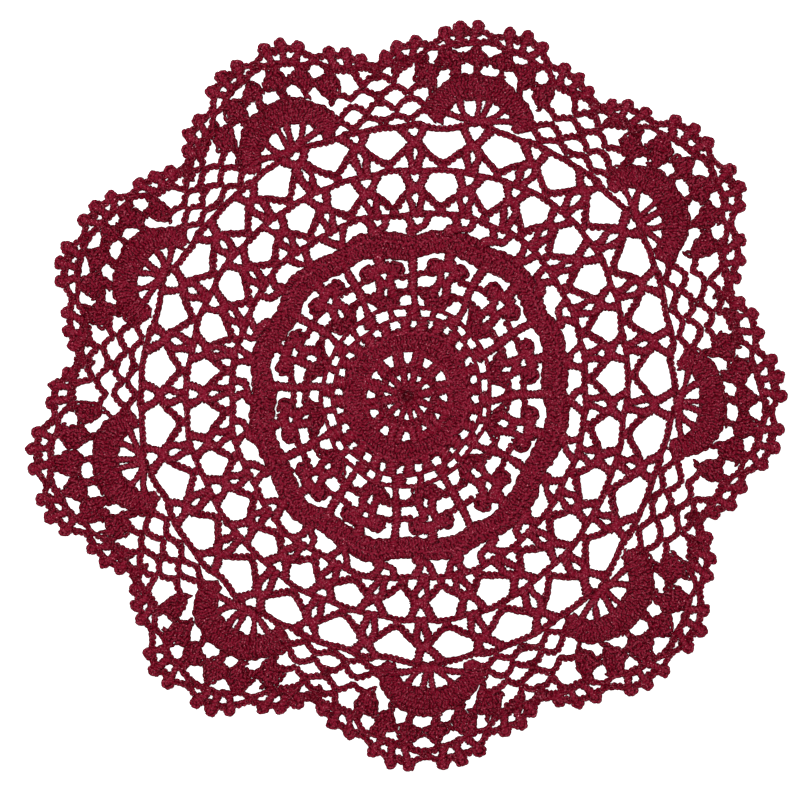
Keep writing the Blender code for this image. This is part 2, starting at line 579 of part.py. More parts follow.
def build():
    for obj in list(bpy.data.objects):
        bpy.data.objects.remove(obj, do_unlink=True)
    drawn = chart()
    loops = loops_of(cloth_grid(drawn))
    outline = max((p for p in loops if area_of(p) > 0), key=area_of)
    gaps = [p for p in loops if area_of(p) < 0 and extent_of(p) * UNIT > SMALLEST_GAP]
    gaps = sorted(gaps, key=area_of)[:MOST_GAPS]
    edge = thin_out([outline] + gaps, MOST_POINTS)
    middle = (edge[0].max(axis=0) + edge[0].min(axis=0)) / 2.0

    corners = np.vstack(edge)
    sides = []
    start = 0
    for p in edge:
        n = len(p)
        sides += [(start + i, start + (i + 1) % n) for i in range(n)]
        start += n
    made = delaunay_2d_cdt([Vector(p) for p in corners], sides, [], 0, 1e-6)
    if len(made[0]) != len(corners):
        raise ValueError("two edges of the cloth cross")
    corner_of = np.array([came_from[0] for came_from in made[3]])
    points, faces = corners, corner_of[np.array(made[2])]
    inner = points[faces].mean(axis=1)
    inside = np.zeros(len(faces), bool)
    for a, b in sides:
        (ax, ay), (bx, by) = corners[a], corners[b]
        if ay != by:
            row = (inner[:, 1] >= min(ay, by)) & (inner[:, 1] < max(ay, by))
            inside ^= row & (inner[:, 0] > ax + (inner[:, 1] - ay) * (bx - ax) / (by - ay))
    faces = faces[inside]
    a, b, c = (points[faces[:, k]] for k in range(3))
    cross = (b[:, 0] - a[:, 0]) * (c[:, 1] - a[:, 1]) - (c[:, 0] - a[:, 0]) * (b[:, 1] - a[:, 1])
    faces[cross < 0] = faces[cross < 0][:, ::-1]

    n = len(points)
    xy = (points - middle) * UNIT
    high = thickness(points[:, 0], points[:, 1], drawn)
    verts = [(x, y, 0.0) for x, y in xy] + [(x, y, z) for (x, y), z in zip(xy, high)]
    polys = [tuple(int(k) for k in f[::-1]) for f in faces] + [tuple(int(k) + n for k in f) for f in faces]
    for s, e in sides:
        polys += [(s, e, e + n), (s, e + n, s + n)]
    mesh = bpy.data.meshes.new("doily")
    mesh.from_pydata(verts, [], polys)
    mesh.materials.append(cloth_material())
    obj = bpy.data.objects.new("doily", mesh)
    bpy.context.scene.collection.objects.link(obj)
    least = round(extent_of(gaps[-1]) * UNIT * 1000, 2)
    print("gaps", len(gaps), "outline", len(edge[0]), "corners", len(corners), "triangles", len(polys))
    print("middle", middle, "least gap", least, "mm")


build()
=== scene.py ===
import bpy
import numpy as np
from mathutils.geometry import tessellate_polygon
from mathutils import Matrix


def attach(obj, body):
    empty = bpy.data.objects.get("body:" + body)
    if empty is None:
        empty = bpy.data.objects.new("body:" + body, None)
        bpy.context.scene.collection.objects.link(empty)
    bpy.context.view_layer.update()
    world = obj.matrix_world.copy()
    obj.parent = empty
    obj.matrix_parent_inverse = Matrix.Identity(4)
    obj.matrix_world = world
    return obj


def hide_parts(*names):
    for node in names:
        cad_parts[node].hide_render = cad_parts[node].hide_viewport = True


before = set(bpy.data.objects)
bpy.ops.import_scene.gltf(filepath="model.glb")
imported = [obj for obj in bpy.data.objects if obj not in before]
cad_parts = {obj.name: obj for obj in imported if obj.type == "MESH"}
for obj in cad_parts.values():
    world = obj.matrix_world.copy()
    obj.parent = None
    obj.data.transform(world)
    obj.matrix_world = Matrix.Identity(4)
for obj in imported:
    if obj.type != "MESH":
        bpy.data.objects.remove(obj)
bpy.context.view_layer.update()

# The doily again as crocheted yarn: the same chart as the solid's, with each strand and area now worked in
# stitches. Everything is drawn in chart units, z too, and turned into metres at the end.
UNIT = 0.0003                    # metres to one chart unit: a cord of chain stitches is 7 to 8 units wide
MIDDLE = (-1.30832, -0.16467)    # the chart's place that lies at the origin: the middle of the solid's bounds
FIRST_FAN, FIRST_SPOKE = 14.4, 2.3
# Radii on a fan's axis, its edging's turn and reach at four places, then the radii at the valley after it.
FANS = (
    # angle  net1 net2  hub crown | turn  far  left right far | net1   net2  valley
    (14.4, 215, 257, 283, 332, -1.0, 357, 380, 384, 368, 222.0, 266.0, 346),
    (52.5, 219, 270, 291, 342, -0.2, 372, 399, 399, 365, 209.5, 254.0, 337),
    (91.7, 204, 246, 271, 320, 0.8, 360, 378, 377, 347, 204.0, 243.0, 318),
    (135.0, 207, 250, 274, 324, -0.5, 350, 383, 382, 357, 210.5, 252.5, 330),
    (175.4, 209, 251, 272, 320, 1.8, 353, 375, 373, 343, 205.5, 245.5, 317),
    (217.1, 205, 246, 268, 318, 0.2, 343, 377, 379, 350, 202.5, 245.5, 327),
    (256.3, 205, 251, 273, 325, 0.2, 351, 385, 387, 357, 205.5, 247.0, 331),
    (295.8, 206, 249, 273, 322, 0.3, 352, 380, 372, 341, 207.5, 248.5, 320),
    (334.8, 205, 254, 273, 325, 0.2, 348, 377, 381, 355, 207.5, 251.5, 329),
)
# Angle, then the band's inner and outer radius a third and four fifths of the way to the next spoke,
# then how far the trellis below is turned and the radii of its two chain rings.
SPOKES = (
    # angle   in  out |  in  out | turn ring1 ring2
    (2.3, 146, 171, 146, 173, 1.2, 79.0, 89.5),
    (31.2, 153, 176, 143, 168, 0.2, 80.5, 90.0),
    (59.4, 143, 168, 135, 162, 0.9, 76.0, 87.0),
    (89.4, 139, 164, 134, 161, 2.8, 73.0, 82.0),
    (121.7, 140, 166, 144, 170, 2.5, 73.5, 82.5),
    (154.0, 146, 170, 140, 165, 1.0, 76.0, 86.0),
    (185.2, 147, 171, 140, 166, 0.6, 79.5, 91.0),
    (214.0, 143, 169, 138, 162, -0.5, 80.5, 90.5),
    (242.3, 138, 162, 132, 159, 0.5, 76.0, 86.5),
    (274.0, 140, 162, 134, 160, -0.2, 73.5, 85.0),
    (306.3, 141, 167, 139, 165, -1.5, 74.0, 86.0),
    (334.0, 142, 169, 136, 165, -0.3, 74.5, 87.5),
)
# The three columns of the net to a fan: angles of foot, first and second crossing, column by column.
COLUMNS = (
    # foot first second | foot first second | foot first second
    (18.1, 16.0, 14.9, 30.9, 28.3, 28.3, 40.1, 40.2, 40.5),
    (48.3, 51.5, 52.4, 61.9, 64.0, 64.9, 77.2, 77.7, 77.7),
    (91.3, 92.4, 91.9, 107.9, 107.8, 107.0, 122.7, 122.8, 121.6),
    (138.8, 136.2, 134.9, 153.5, 148.6, 148.8, 164.5, 163.5, 162.8),
    (173.8, 176.9, 176.1, 187.2, 189.7, 189.8, 202.8, 203.8, 203.3),
    (214.7, 217.1, 217.0, 230.2, 230.7, 230.7, 243.4, 244.3, 243.4),
    (258.9, 257.2, 256.3, 273.3, 270.2, 269.9, 283.3, 283.1, 282.9),
    (292.3, 295.8, 295.9, 307.2, 308.6, 309.6, 322.0, 322.5, 321.5),
    (335.3, 335.8, 334.8, 350.4, 348.5, 348.8, 363.4, 362.1, 361.5),
)
RING1, RING2 = 76.4, 87.0
BAND_IN, BAND_OUT, NET1, NET2, HUB, CROWN = 141.0, 166.5, 206.0, 250.0, 273.0, 324.0
# Angle from a fan's axis and charted radius of the places that FANS gives the reach of.
REACH = ((-15.3, 352.6), (-5.4, 386.5), (5.4, 386.5), (15.3, 352.6), (20.0, 329.5))


def around(values, first, x):
    """A smooth closed curve through values spaced evenly from the angle first, read at the angles x."""
    v = np.asarray(values, float)
    n = len(v)
    t = (np.asarray(x, float) - first) / (360.0 / n)
    i = np.floor(t).astype(int)
    f = t - i
    a, b, c, d = (v[(i + k) % n] for k in (-1, 0, 1, 2))
    return 0.5 * (2 * b + (c - a) * f + (2 * a - 5 * b + 4 * c - d) * f**2
                  + (3 * b - a - 3 * c + d) * f**3)


def smooth(t):
    """A step from 0 to 1 with soft ends, between t = 0 and t = 1."""
    t = np.clip(t, 0.0, 1.0)
    return t * t * (3 - 2 * t)


def place(a, r):
    """Chart angle in degrees and radius to x, y in chart units on the finished, unevenly blocked doily."""
    a, r = np.asarray(a, float), np.asarray(r, float)
    t, m = np.array(FANS, float), np.array(SPOKES, float)
    outer = around(t[:, 0] - FIRST_FAN - 40.0 * np.arange(9), FIRST_FAN, a)
    inner = around(m[:, 0] - FIRST_SPOKE - 30.0 * np.arange(12), FIRST_SPOKE, a)
    turn = inner + (outer - inner) * smooth((r - 150.0) / 40.0)
    trellis = smooth((r - 45.0) / 20.0) * (1 - smooth((r - 85.0) / 25.0))
    turn = turn + around(m[:, 5], FIRST_SPOKE, a) * trellis
    net = np.array(COLUMNS, float).reshape(27, 3) - (FIRST_FAN + 40 / 3 * np.arange(27))[:, None]
    foot, first, second = (around(v, FIRST_FAN, a) for v in net.T)
    steps = ((BAND_OUT, 171.0, foot), (171.0, 205.0, first), (205.0, 250.0, second), (250.0, 268.0, outer))
    for r0, r1, v in steps:
        turn = turn + (v - turn) * np.clip((r - r0) / (r1 - r0), 0.0, 1.0)
    turn = turn + around(t[:, 5], FIRST_FAN, a) * smooth((r - 285.0) / 60.0)

    def at(fan, valley):
        return around(np.ravel(np.column_stack([fan, valley])), FIRST_FAN, a)

    where = np.array([FIRST_FAN + 40 * k + d for k in range(9) for d, _ in REACH])
    rim = t[:, [6, 7, 8, 9, 12]] / [q for _, q in REACH]
    crown = rim.copy()
    crown[:, 1] = crown[:, 2] = t[:, 4] / CROWN
    rim, crown = (np.interp(a, where, np.ravel(s), period=360) for s in (rim, crown))
    one = np.ones_like(a)
    levels = (
        (0.0, one), (50.0, one),
        (68.0, around(m[:, 6], FIRST_SPOKE, a) / RING1), (RING1, around(m[:, 6], FIRST_SPOKE, a) / RING1),
        (RING2, around(m[:, 7], FIRST_SPOKE, a) / RING2),
        (BAND_IN, around(np.ravel(m[:, [1, 3]]), FIRST_SPOKE + 9.5, a) / BAND_IN),
        (BAND_OUT, around(np.ravel(m[:, [2, 4]]), FIRST_SPOKE + 9.5, a) / BAND_OUT),
        (NET1, at(t[:, 1], t[:, 10]) / NET1),
        (NET2, at(t[:, 2], t[:, 11]) / NET2),
        (HUB, at(t[:, 3] / HUB, 0.5 * (t[:, 11] / NET2 + t[:, 12] / REACH[-1][1]))),
        (CROWN, crown), (365.0, rim), (500.0, rim),
    )
    scale = one * 0
    for (r0, s0), (r1, s1) in zip(levels, levels[1:]):
        f = (r - r0) / (r1 - r0)
        scale = np.where((r >= r0) & (r < r1), s0 + (s1 - s0) * f, scale)
    b = np.radians(a + turn)
    return ease(r * scale * np.sin(b), r * scale * np.cos(b))


RNG = np.random.default_rng(27)
# The waves that shift the stitches a little: wave number, direction and two phases of each.
WAVES = [(RNG.uniform(0.035, 0.16), RNG.uniform(0, 2 * np.pi), RNG.uniform(0, 2 * np.pi),
          RNG.uniform(0, 2 * np.pi)) for _ in range(14)]
SLACK = 0.3     # units


def ease(x, y):
    """Small slow shifts, as of hand tension, that move neighbouring stitches together."""
    dx = sum(np.sin(k * (x * np.cos(d) + y * np.sin(d)) + p) for k, d, p, q in WAVES)
    dy = sum(np.sin(k * (x * np.cos(d) + y * np.sin(d)) + q) for k, d, p, q in WAVES)
    w = SLACK * smooth((np.hypot(x, y) - 15) / 60)
    return x + w * dx, y + w * dy


def pol(u, v):
    """The angle in degrees and the radius of places across and up from an axis."""
    return np.degrees(np.arctan2(u, v)), np.hypot(u, v)


def bend(points, step=2.5):
    """A smooth open curve through the points."""
    p = np.asarray(points, float)
    if len(p) < 3:
        n = max(int(np.ceil(np.hypot(*(p[1] - p[0])) / step)), 1)
        return p[0] + (p[1] - p[0]) * np.linspace(0, 1, n + 1)[:, None]
    q = np.vstack([2 * p[0] - p[1], p, 2 * p[-1] - p[-2]])
    out = []
    for i in range(len(p) - 1):
        a, b, c, d = q[i:i + 4]
        n = max(int(np.ceil(np.hypot(*(c - b)) / step)), 1)
        f = (np.arange(n) / n)[:, None]
        out.append(0.5 * (2 * b + (c - a) * f + (2 * a - 5 * b + 4 * c - d) * f**2
                          + (3 * b - a - 3 * c + d) * f**3))
    out.append(p[-1:])
    return np.vstack(out)


class Chart:
    """The strands and areas of the pattern, each one moved to its place on the finished doily."""

    def __init__(self):
        self.strands = []   # (kind, width, Nx2 xy in units)
        self.areas = []     # (Nx2 polygon, its first two corners)

    def spot(self, turn, points):
        """Points across and up from an axis, put in their places on the doily; turn is the axis's angle."""
        a, r = pol(*np.array(points, float).T)
        return np.column_stack(place(a + turn, r))

    def uv(self, kind, width, turn, points, mirror=False):
        """A strand through points across and up from an axis, and its mirror image if asked for."""
        for s in ((1, -1) if mirror else (1,)):
            self.strands.append((kind, width, self.spot(turn, bend([(s * u, v) for u, v in points]))))

    def polar(self, kind, width, turn, points):
        """A strand through points that are given by angle and radius."""
        flat = [(r * np.sin(np.radians(a)), r * np.cos(np.radians(a))) for a, r in points]
        self.uv(kind, width, turn, flat)

    def ring(self, width, radius, step=1.0):
        """A whole round of chain stitches, with a point every step degrees."""
        a = np.linspace(0, 360, int(360 / step) + 1)
        self.strands.append(("round", width, np.column_stack(place(a, np.full(len(a), float(radius))))))

    def area(self, turn, points):
        """A cluster: an area of close stitches inside an outline."""
        p = np.array(points, float)
        p = np.vstack([bend([p[i], p[(i + 1) % len(p)]], 3.0)[:-1] for i in range(len(p))])
        self.areas.append((self.spot(turn, p), self.spot(turn, points[:2])))


def band_outer(a):
    """The charted outer radius of the band, drawn in a little at each spoke."""
    return BAND_OUT - 4.0 * np.abs(np.cos(np.radians((a - FIRST_SPOKE) * 6.0)))**6


def band_inner(a):
    """The same on its inner side."""
    return BAND_IN - 2.5 * np.abs(np.cos(np.radians((a - FIRST_SPOKE) * 6.0)))**6


def chart():
    """The whole pattern, but for the rounds and crescents that work() makes from their edges."""
    c = Chart()
    centre(c)
    for k in range(12):
        motif(c, FIRST_SPOKE + 15 + 30 * k)
    c.ring(4.6, RING1, 2)
    c.ring(5.2, RING2, 2)
    for k in range(27):
        column(c, FIRST_FAN + 40 / 3 * k)
    c.ring(7.0, 181.0)
    c.ring(6.8, 222.5)
    for k in range(9):
        fan(c, FIRST_FAN + 40 * k)
        valley(c, FIRST_FAN + 40 * k + 20)
    return c


# The two rounds of twelve small gaps near the centre, slits and then kites: angle, width, each kite's ends.
GAPS = (
    # slit wide | kite wide  in   out
    (4, 3, 0, 8, 33, 44),
    (33, 2, 30, 8.5, 33, 42),
    (64, 3, 60, 8, 32, 42),
    (97, 3, 92, 9.5, 31.5, 40),
    (129, 3, 124, 7.5, 31.5, 38),
    (160, 3, 153, 4, 33, 38),
    (183, 2, 181, 8.5, 36, 45),
    (210, 3.5, 213, 7, 36.5, 46),
    (241, 3.5, 242, 8, 33, 41),
    (275, 2, 272, 9, 32, 41),
    (304, 3, 303, 8, 31, 41),
    (334, 2.5, 332, 8, 32.5, 43),
)


def centre(c):
    """The posts between the slits and the kites of the centre, whose sizes GAPS gives."""

    def free(width, angles, radii):
        t = np.radians(angles)
        c.strands.append(("post", width, np.column_stack([radii * np.sin(t), radii * np.cos(t)])))

    for k in range(12):
        slit, wide, kite, span, low, high = GAPS[k]
        next_slit, next_wide, next_kite, next_span = GAPS[(k + 1) % 12][:4]
        turn = (next_slit - slit) % 360
        across = np.radians(turn) * 18.5 - (wide + next_wide) / 2
        free(across, slit + turn / 2 + np.zeros(4), np.linspace(12, 25, 4))
        turn = (next_kite - kite) % 360
        across = np.radians(turn) * 38.0 - (span + next_span) / 2
        for side in (-1, 1):
            free(across / 2 + 0.8, kite + turn / 2 + side * np.degrees(across / 4 / np.linspace(31, 46, 6)),
                 np.linspace(31, 46, 6))
        arc = kite + np.linspace(-9, 9, 5)
        if low > 32.4:
            free(low - 30.6, arc, (low + 30.6) / 2 + np.zeros(5))
        if high < 45.0:
            free(46.8 - high, arc, (46.8 + high) / 2 + np.zeros(5))


def motif(c, x):
    """One of the twelve cluster motifs, with the trellis below it and the spoke after it."""
    for s in (-7.4, 7.4):
        c.polar("post", 10.0, x + s, [(0, 66), (0, RING1 - 3.5)])
    c.polar("post", 6.6, x, [(0, RING1), (0, RING2)])
    c.polar("post", 12.0, x + 15, [(0, RING1 + 4.0), (0, RING2 - 3.0)])
    c.polar("post", 7.0, x + 15, [(1.5, 86), (1.4, 98), (0.5, 110)])
    c.polar("post", 8.6, x + 15, [(0.5, 108), (0, 122), (0, 147)])
    c.area(x, [(-8, 85.5), (8, 85.5), (12.5, 93), (18.5, 101), (14, 107), (6, 105), (1.5, 101), (-5, 105),
               (-14, 107), (-21.5, 101), (-14, 93)])
    c.uv("post", 8.6, x, [(-7.2, 102), (-5.0, 109), (-4.4, 117), (-7.8, 124), (-13, 126)])
    c.uv("post", 8.6, x, [(8.0, 102), (7.8, 109), (6.4, 117), (8.8, 124), (13, 128)])
    c.uv("post", 8.6, x, [(-4.5, 115), (5, 115)])
    c.uv("post", 10.0, x, [(0, 128), (0, 144)])
    c.uv("popcorn", 16.0, x, [(-16, 124.5), (-11.5, 127.5)])
    c.uv("popcorn", 16.0, x, [(17.5, 127.5), (12, 129.5)])
    c.uv("raised", 10.0, x, [(-7, 128), (0, 130.5), (7, 131.5)])
    c.uv("chain", 7.4, x, [(-16, 103.5), (-22, 103.5), (-28.5, 102)], True)
    c.uv("chain", 7.0, x, [(-17, 120.5), (-24.5, 119), (-31, 116)], True)


def column(c, x):
    """One of the 27 columns of the net: three V stitches, two crossings between them, and the chain arcs."""
    h = 20 / 3
    for s in (-1, 1):
        c.polar("post", 7.4, x, [(s * 0.2, 163.5), (s * 1.75, 171), (s * 3.4, 181.5)])
        c.polar("post", 7.4, x, [(s * 0.85, 181), (s * 1.05, 190), (s * 1.85, 198), (s * 1.3, 205)])
        c.polar("post", 8.4, x, [(s * 0.1, 205), (s * 1.65, 211), (s * 2.95, 222)])
        c.polar("post", 7.9, x, [(s * 0.7, 222), (s * 0.95, 231), (s * 1.6, 239.5), (s * 1.2, 248)])
        c.polar("post", 8.4, x, [(s * 0.1, 250), (s * 1.35, 256), (s * 2.45, 266)])
    c.polar("post", 8.0, x, [(-1.1, 204.8), (1.1, 204.8)])
    c.polar("post", 8.0, x, [(-0.9, 249.8), (0.9, 249.8)])
    c.polar("post", 5.2, x, [(h - 1.15, 184.9), (h + 1.15, 184.9)])
    c.polar("post", 5.2, x, [(h - 0.75, 226.7), (h + 0.75, 226.7)])
    c.polar("chain", 8.4, x, [(0.9, 203.6), (3.2, 197.4), (h, 188.2), (2 * h - 3.2, 197.8),
                              (2 * h - 0.9, 203.6)])
    c.polar("chain", 8.0, x, [(0.8, 248.6), (3.0, 240.8), (h, 229.8), (2 * h - 3.0, 241.4),
                              (2 * h - 0.8, 248.6)])


CRESCENT_AT = 272.0                      # radius of the middle of the ellipses that bound a crescent
INNER_ACROSS, INNER_UP = 32.7, 22.8      # half axes of the inner one
WIDER, HIGHER = 22.8, 29.2               # how much those of the outer one are longer


def ell(b, out):
    """A point of the fan's crescent, b degrees from its axis; out is 0 on the inner edge, 1 on the outer."""
    b = np.radians(b)
    out = out * (1.0 - 0.45 * smooth((np.abs(b) - 1.36) / 0.3))
    up = CRESCENT_AT + (INNER_UP + HIGHER * out) * np.cos(b)
    return (INNER_ACROSS + WIDER * out) * np.sin(b), up


CLUSTERS = (  # outline of each of a fan's six clusters, across and up from the fan's axis
    ((-54, 292), (-49, 291), (-48, 298), (-46.5, 302), (-47, 311), (-44.5, 317), (-36.5, 319.5), (-44, 326),
     (-51.5, 324.5), (-59.5, 325.5), (-61.5, 333), (-63.5, 335), (-64, 327), (-74, 321), (-73, 311),
     (-73, 303.5), (-67, 300.5), (-57, 301)),
    ((-35.5, 313), (-26.5, 316.5), (-25.5, 324), (-25, 330), (-22.5, 333.5), (-28, 343), (-38.6, 349.3),
     (-41, 354), (-50, 348.5), (-51.5, 341), (-52, 325.5), (-44, 325.5), (-36.5, 319.5)),
    ((-14.5, 321.5), (-5.5, 322), (-5.5, 331), (-2.5, 335.5), (1.5, 337), (0, 346), (-9.2, 358.5),
     (-9.5, 363), (-15, 361), (-16.8, 356.5), (-19, 353), (-27.5, 343), (-22.5, 333.5), (-14.5, 332)),
    ((11.5, 321.5), (18.5, 320.5), (18.5, 328), (22, 330.5), (26.5, 333), (27.4, 344), (25, 351), (25, 358),
     (24, 362), (11, 362), (10.5, 358), (6.5, 352.5), (0, 346), (1.5, 337), (7.5, 334.5), (11.5, 330.5)),
    ((33, 314), (39.6, 308.5), (40, 315.7), (45.5, 319), (50.5, 325.6), (51.5, 335.5), (55, 338),
     (51.5, 343), (47.5, 349.5), (41, 354), (39.5, 350), (37.5, 345.6), (27.4, 342.5), (26.5, 333),
     (31.5, 323)),
    ((50, 293), (55, 298.5), (54, 301.5), (49.5, 308), (48.8, 316.5), (45.5, 319), (50.5, 325.5),
     (60, 324.5), (64.9, 326.2), (65.5, 335), (69, 335), (72.5, 322), (71.5, 311), (67.5, 303), (62, 297),
     (56, 293)),
)
PICOTS = (  # across and up: the ball, then the foot of its post
    (16.8, 380.9, 19.5, 363.0),
    (35.6, 378.4, 32.0, 361.0),
    (51.5, 366.6, 42.5, 355.0),
    (76.6, 343.4, 76.5, 326.0),
    (92.0, 333.8, 87.5, 321.0),
    (103.0, 321.4, 97.5, 316.0),
)


def fan(c, x):
    """One of the nine fans but for its crescent: hub, spokes, clusters, edging and picots."""
    c.uv("raised", 7.5, x, [(-4.5, 272.7), (4.5, 272.7)])
    c.uv("post", 5.6, x, [(-2.0, 275), (-2.6, 288), (-3.8, 300)])
    c.uv("post", 6.6, x, [(2.0, 275), (4.6, 286), (7.0, 296)])
    c.uv("post", 6.4, x, [(-4, 273.5), (-12, 277.4), (-18.5, 284.5), (-22, 291)], True)
    c.uv("post", 6.4, x, [(-5, 272.6), (-16, 275.2), (-26, 277.6), (-33, 279.4)], True)
    c.uv("chain", 7.2, x, [(3, 271.5), (10, 269.2), (20, 266.6), (32, 264.4), (44, 261.8), (55, 261)], True)
    c.polar("chain", 7.2, x, [(11.9, 266.8), (13.33, 267.8), (20, 267.8), (26.67, 267.8), (28.1, 266.8)])
    for outline in CLUSTERS:
        c.area(x, outline)
    c.uv("chain", 7.8, x, [(0, 367.7), (8, 365.6), (18, 362.2), (30, 359.8), (35, 357.5)], True)
    c.uv("chain", 6.4, x, [(34, 358), (40.5, 352.5), (50, 345), (60, 342), (66, 335), (70, 327)], True)
    c.uv("chain", 9.6, x, [(69, 326), (80, 321.5), (91, 316.5), (103, 314.5), (110.5, 308)], True)
    c.uv("chain", 8.0, x, [(-91, 309), (-84, 312.5), (-77, 319.5)])
    c.uv("chain", 6.6, x, [(0, 371.5), (8, 375), (16.5, 378)], True)
    c.uv("chain", 9.4, x, [(16.5, 376), (36, 373)], True)
    c.uv("chain", 7.8, x, [(36, 373.5), (47, 366.5), (55, 356.5), (61, 346.5), (69, 343.5), (77, 340),
                           (92, 331), (101, 319), (109, 311)], True)
    for u, v, f, g in PICOTS:
        c.uv("post", 7.2, x, [(f, g), (u, v - 3)], True)
        c.uv("picot", 12.4, x, [(u, v), (u, v + 0.5)], True)


def valley(c, x):
    """The diamond net between two fans, across and up from the valley's axis."""
    w = 7.3
    c.uv("chain", w, x, [(0, 275), (6, 277), (14.5, 280.3), (22, 277), (28.5, 272), (35, 275), (43, 278),
                         (52, 272)], True)
    c.uv("chain", w, x, [(0, 295), (8, 292), (14.5, 285.6), (21, 291), (29, 293.4), (37, 290), (43.5, 282),
                         (49, 287)])
    c.uv("chain", w, x, [(0, 295), (-8, 292), (-14.5, 285), (-21, 290), (-29, 292), (-36.5, 286.5),
                         (-43.5, 280), (-49, 284)])
    c.uv("chain", w, x, [(0, 301), (6, 304), (14.5, 308.0), (23, 305), (29, 299), (36, 303), (50, 305)],
                         True)
    c.uv("chain", w, x, [(0, 320.5), (8, 318.5), (15, 312.5), (20, 321), (24.5, 329)], True)
    c.uv("chain", w, x, [(0, 320), (0, 328)])


# ---- yarn ----

PLY = 1.85                           # radius of the yarn
STITCH, PER_STITCH = 5.6, 9          # length of a chain stitch and the points that its loop is drawn with
CORD_FULL, POST_FULL = 1.16, 1.10    # how much fuller cords and posts are worked than charted
LOW, MID, TOP = 2.7, 3.2, 3.6        # height of the middle of the yarn in cords, posts and close work
CORE_LOW, CORE_HIGH = 0.4, 2.8       # underside and top of the plain sheet that fills in under the yarn
FLOOR = 0.2                          # no yarn lies lower
SWELL, SWELL_LONG = 0.55, 3.0        # how much a stitch spreads at its ends, and over what length
# Shades are painted light and shade: heights in units that the material reads as light, from 0 in the deepest
# grooves to FULL_LIGHT, so that yarn is drawn lighter the higher it lies and darker in grooves and hollows.
FULL_LIGHT = 6.4
# painted shade: the plain sheet under the yarn is drawn dark, like the hollows between stitches where it
# shows
CORE_SHADE = 2.8
# painted light added to the shade of cords, posts and loops
CORD_LIGHT, POST_LIGHT, LOOP_LIGHT = 0.6, 1.2, 3.2
RIM_SHADE = 5.6                            # painted shade: how much darker the yarn is drawn at the sides of a cord or post
GROOVE_SHADE = 3.4                         # painted shade between the strands of a post
EDGE_SHADE = 2.2                      # painted shade in the row that finishes the edge of close work
YARN_UV = 6.0                        # length of yarn to one unit of the UV map
RND = np.random.default_rng(11)


class Line:
    """A flat line that can be read at any distance along it, past its ends too."""

    def __init__(self, points):
        self.p = np.asarray(points, float)
        d = np.diff(self.p, axis=0)
        step = np.maximum(np.hypot(*d.T), 1e-9)
        self.s = np.concatenate([[0], np.cumsum(step)])
        self.long = self.s[-1]
        self.middle, self.d = (self.s[1:] + self.s[:-1]) / 2, d / step[:, None]

    def at(self, s, side=0.0):
        """The places s along the line and side to its right."""
        q = np.clip(s, 0, self.long)
        x, y = (np.interp(q, self.s, self.p[:, k]) for k in (0, 1))
        dx, dy = (np.interp(q, self.middle, self.d[:, k]) for k in (0, 1))
        n = np.maximum(np.hypot(dx, dy), 1e-9)
        dx, dy, past = dx / n, dy / n, s - q
        return np.column_stack([x + dx * past + dy * side, y + dy * past - dx * side])

    def turn(self, s):
        """The angle at which the line runs there."""
        dx, dy = (np.interp(s, self.middle, self.d[:, k]) for k in (0, 1))
        return np.arctan2(dy, dx)


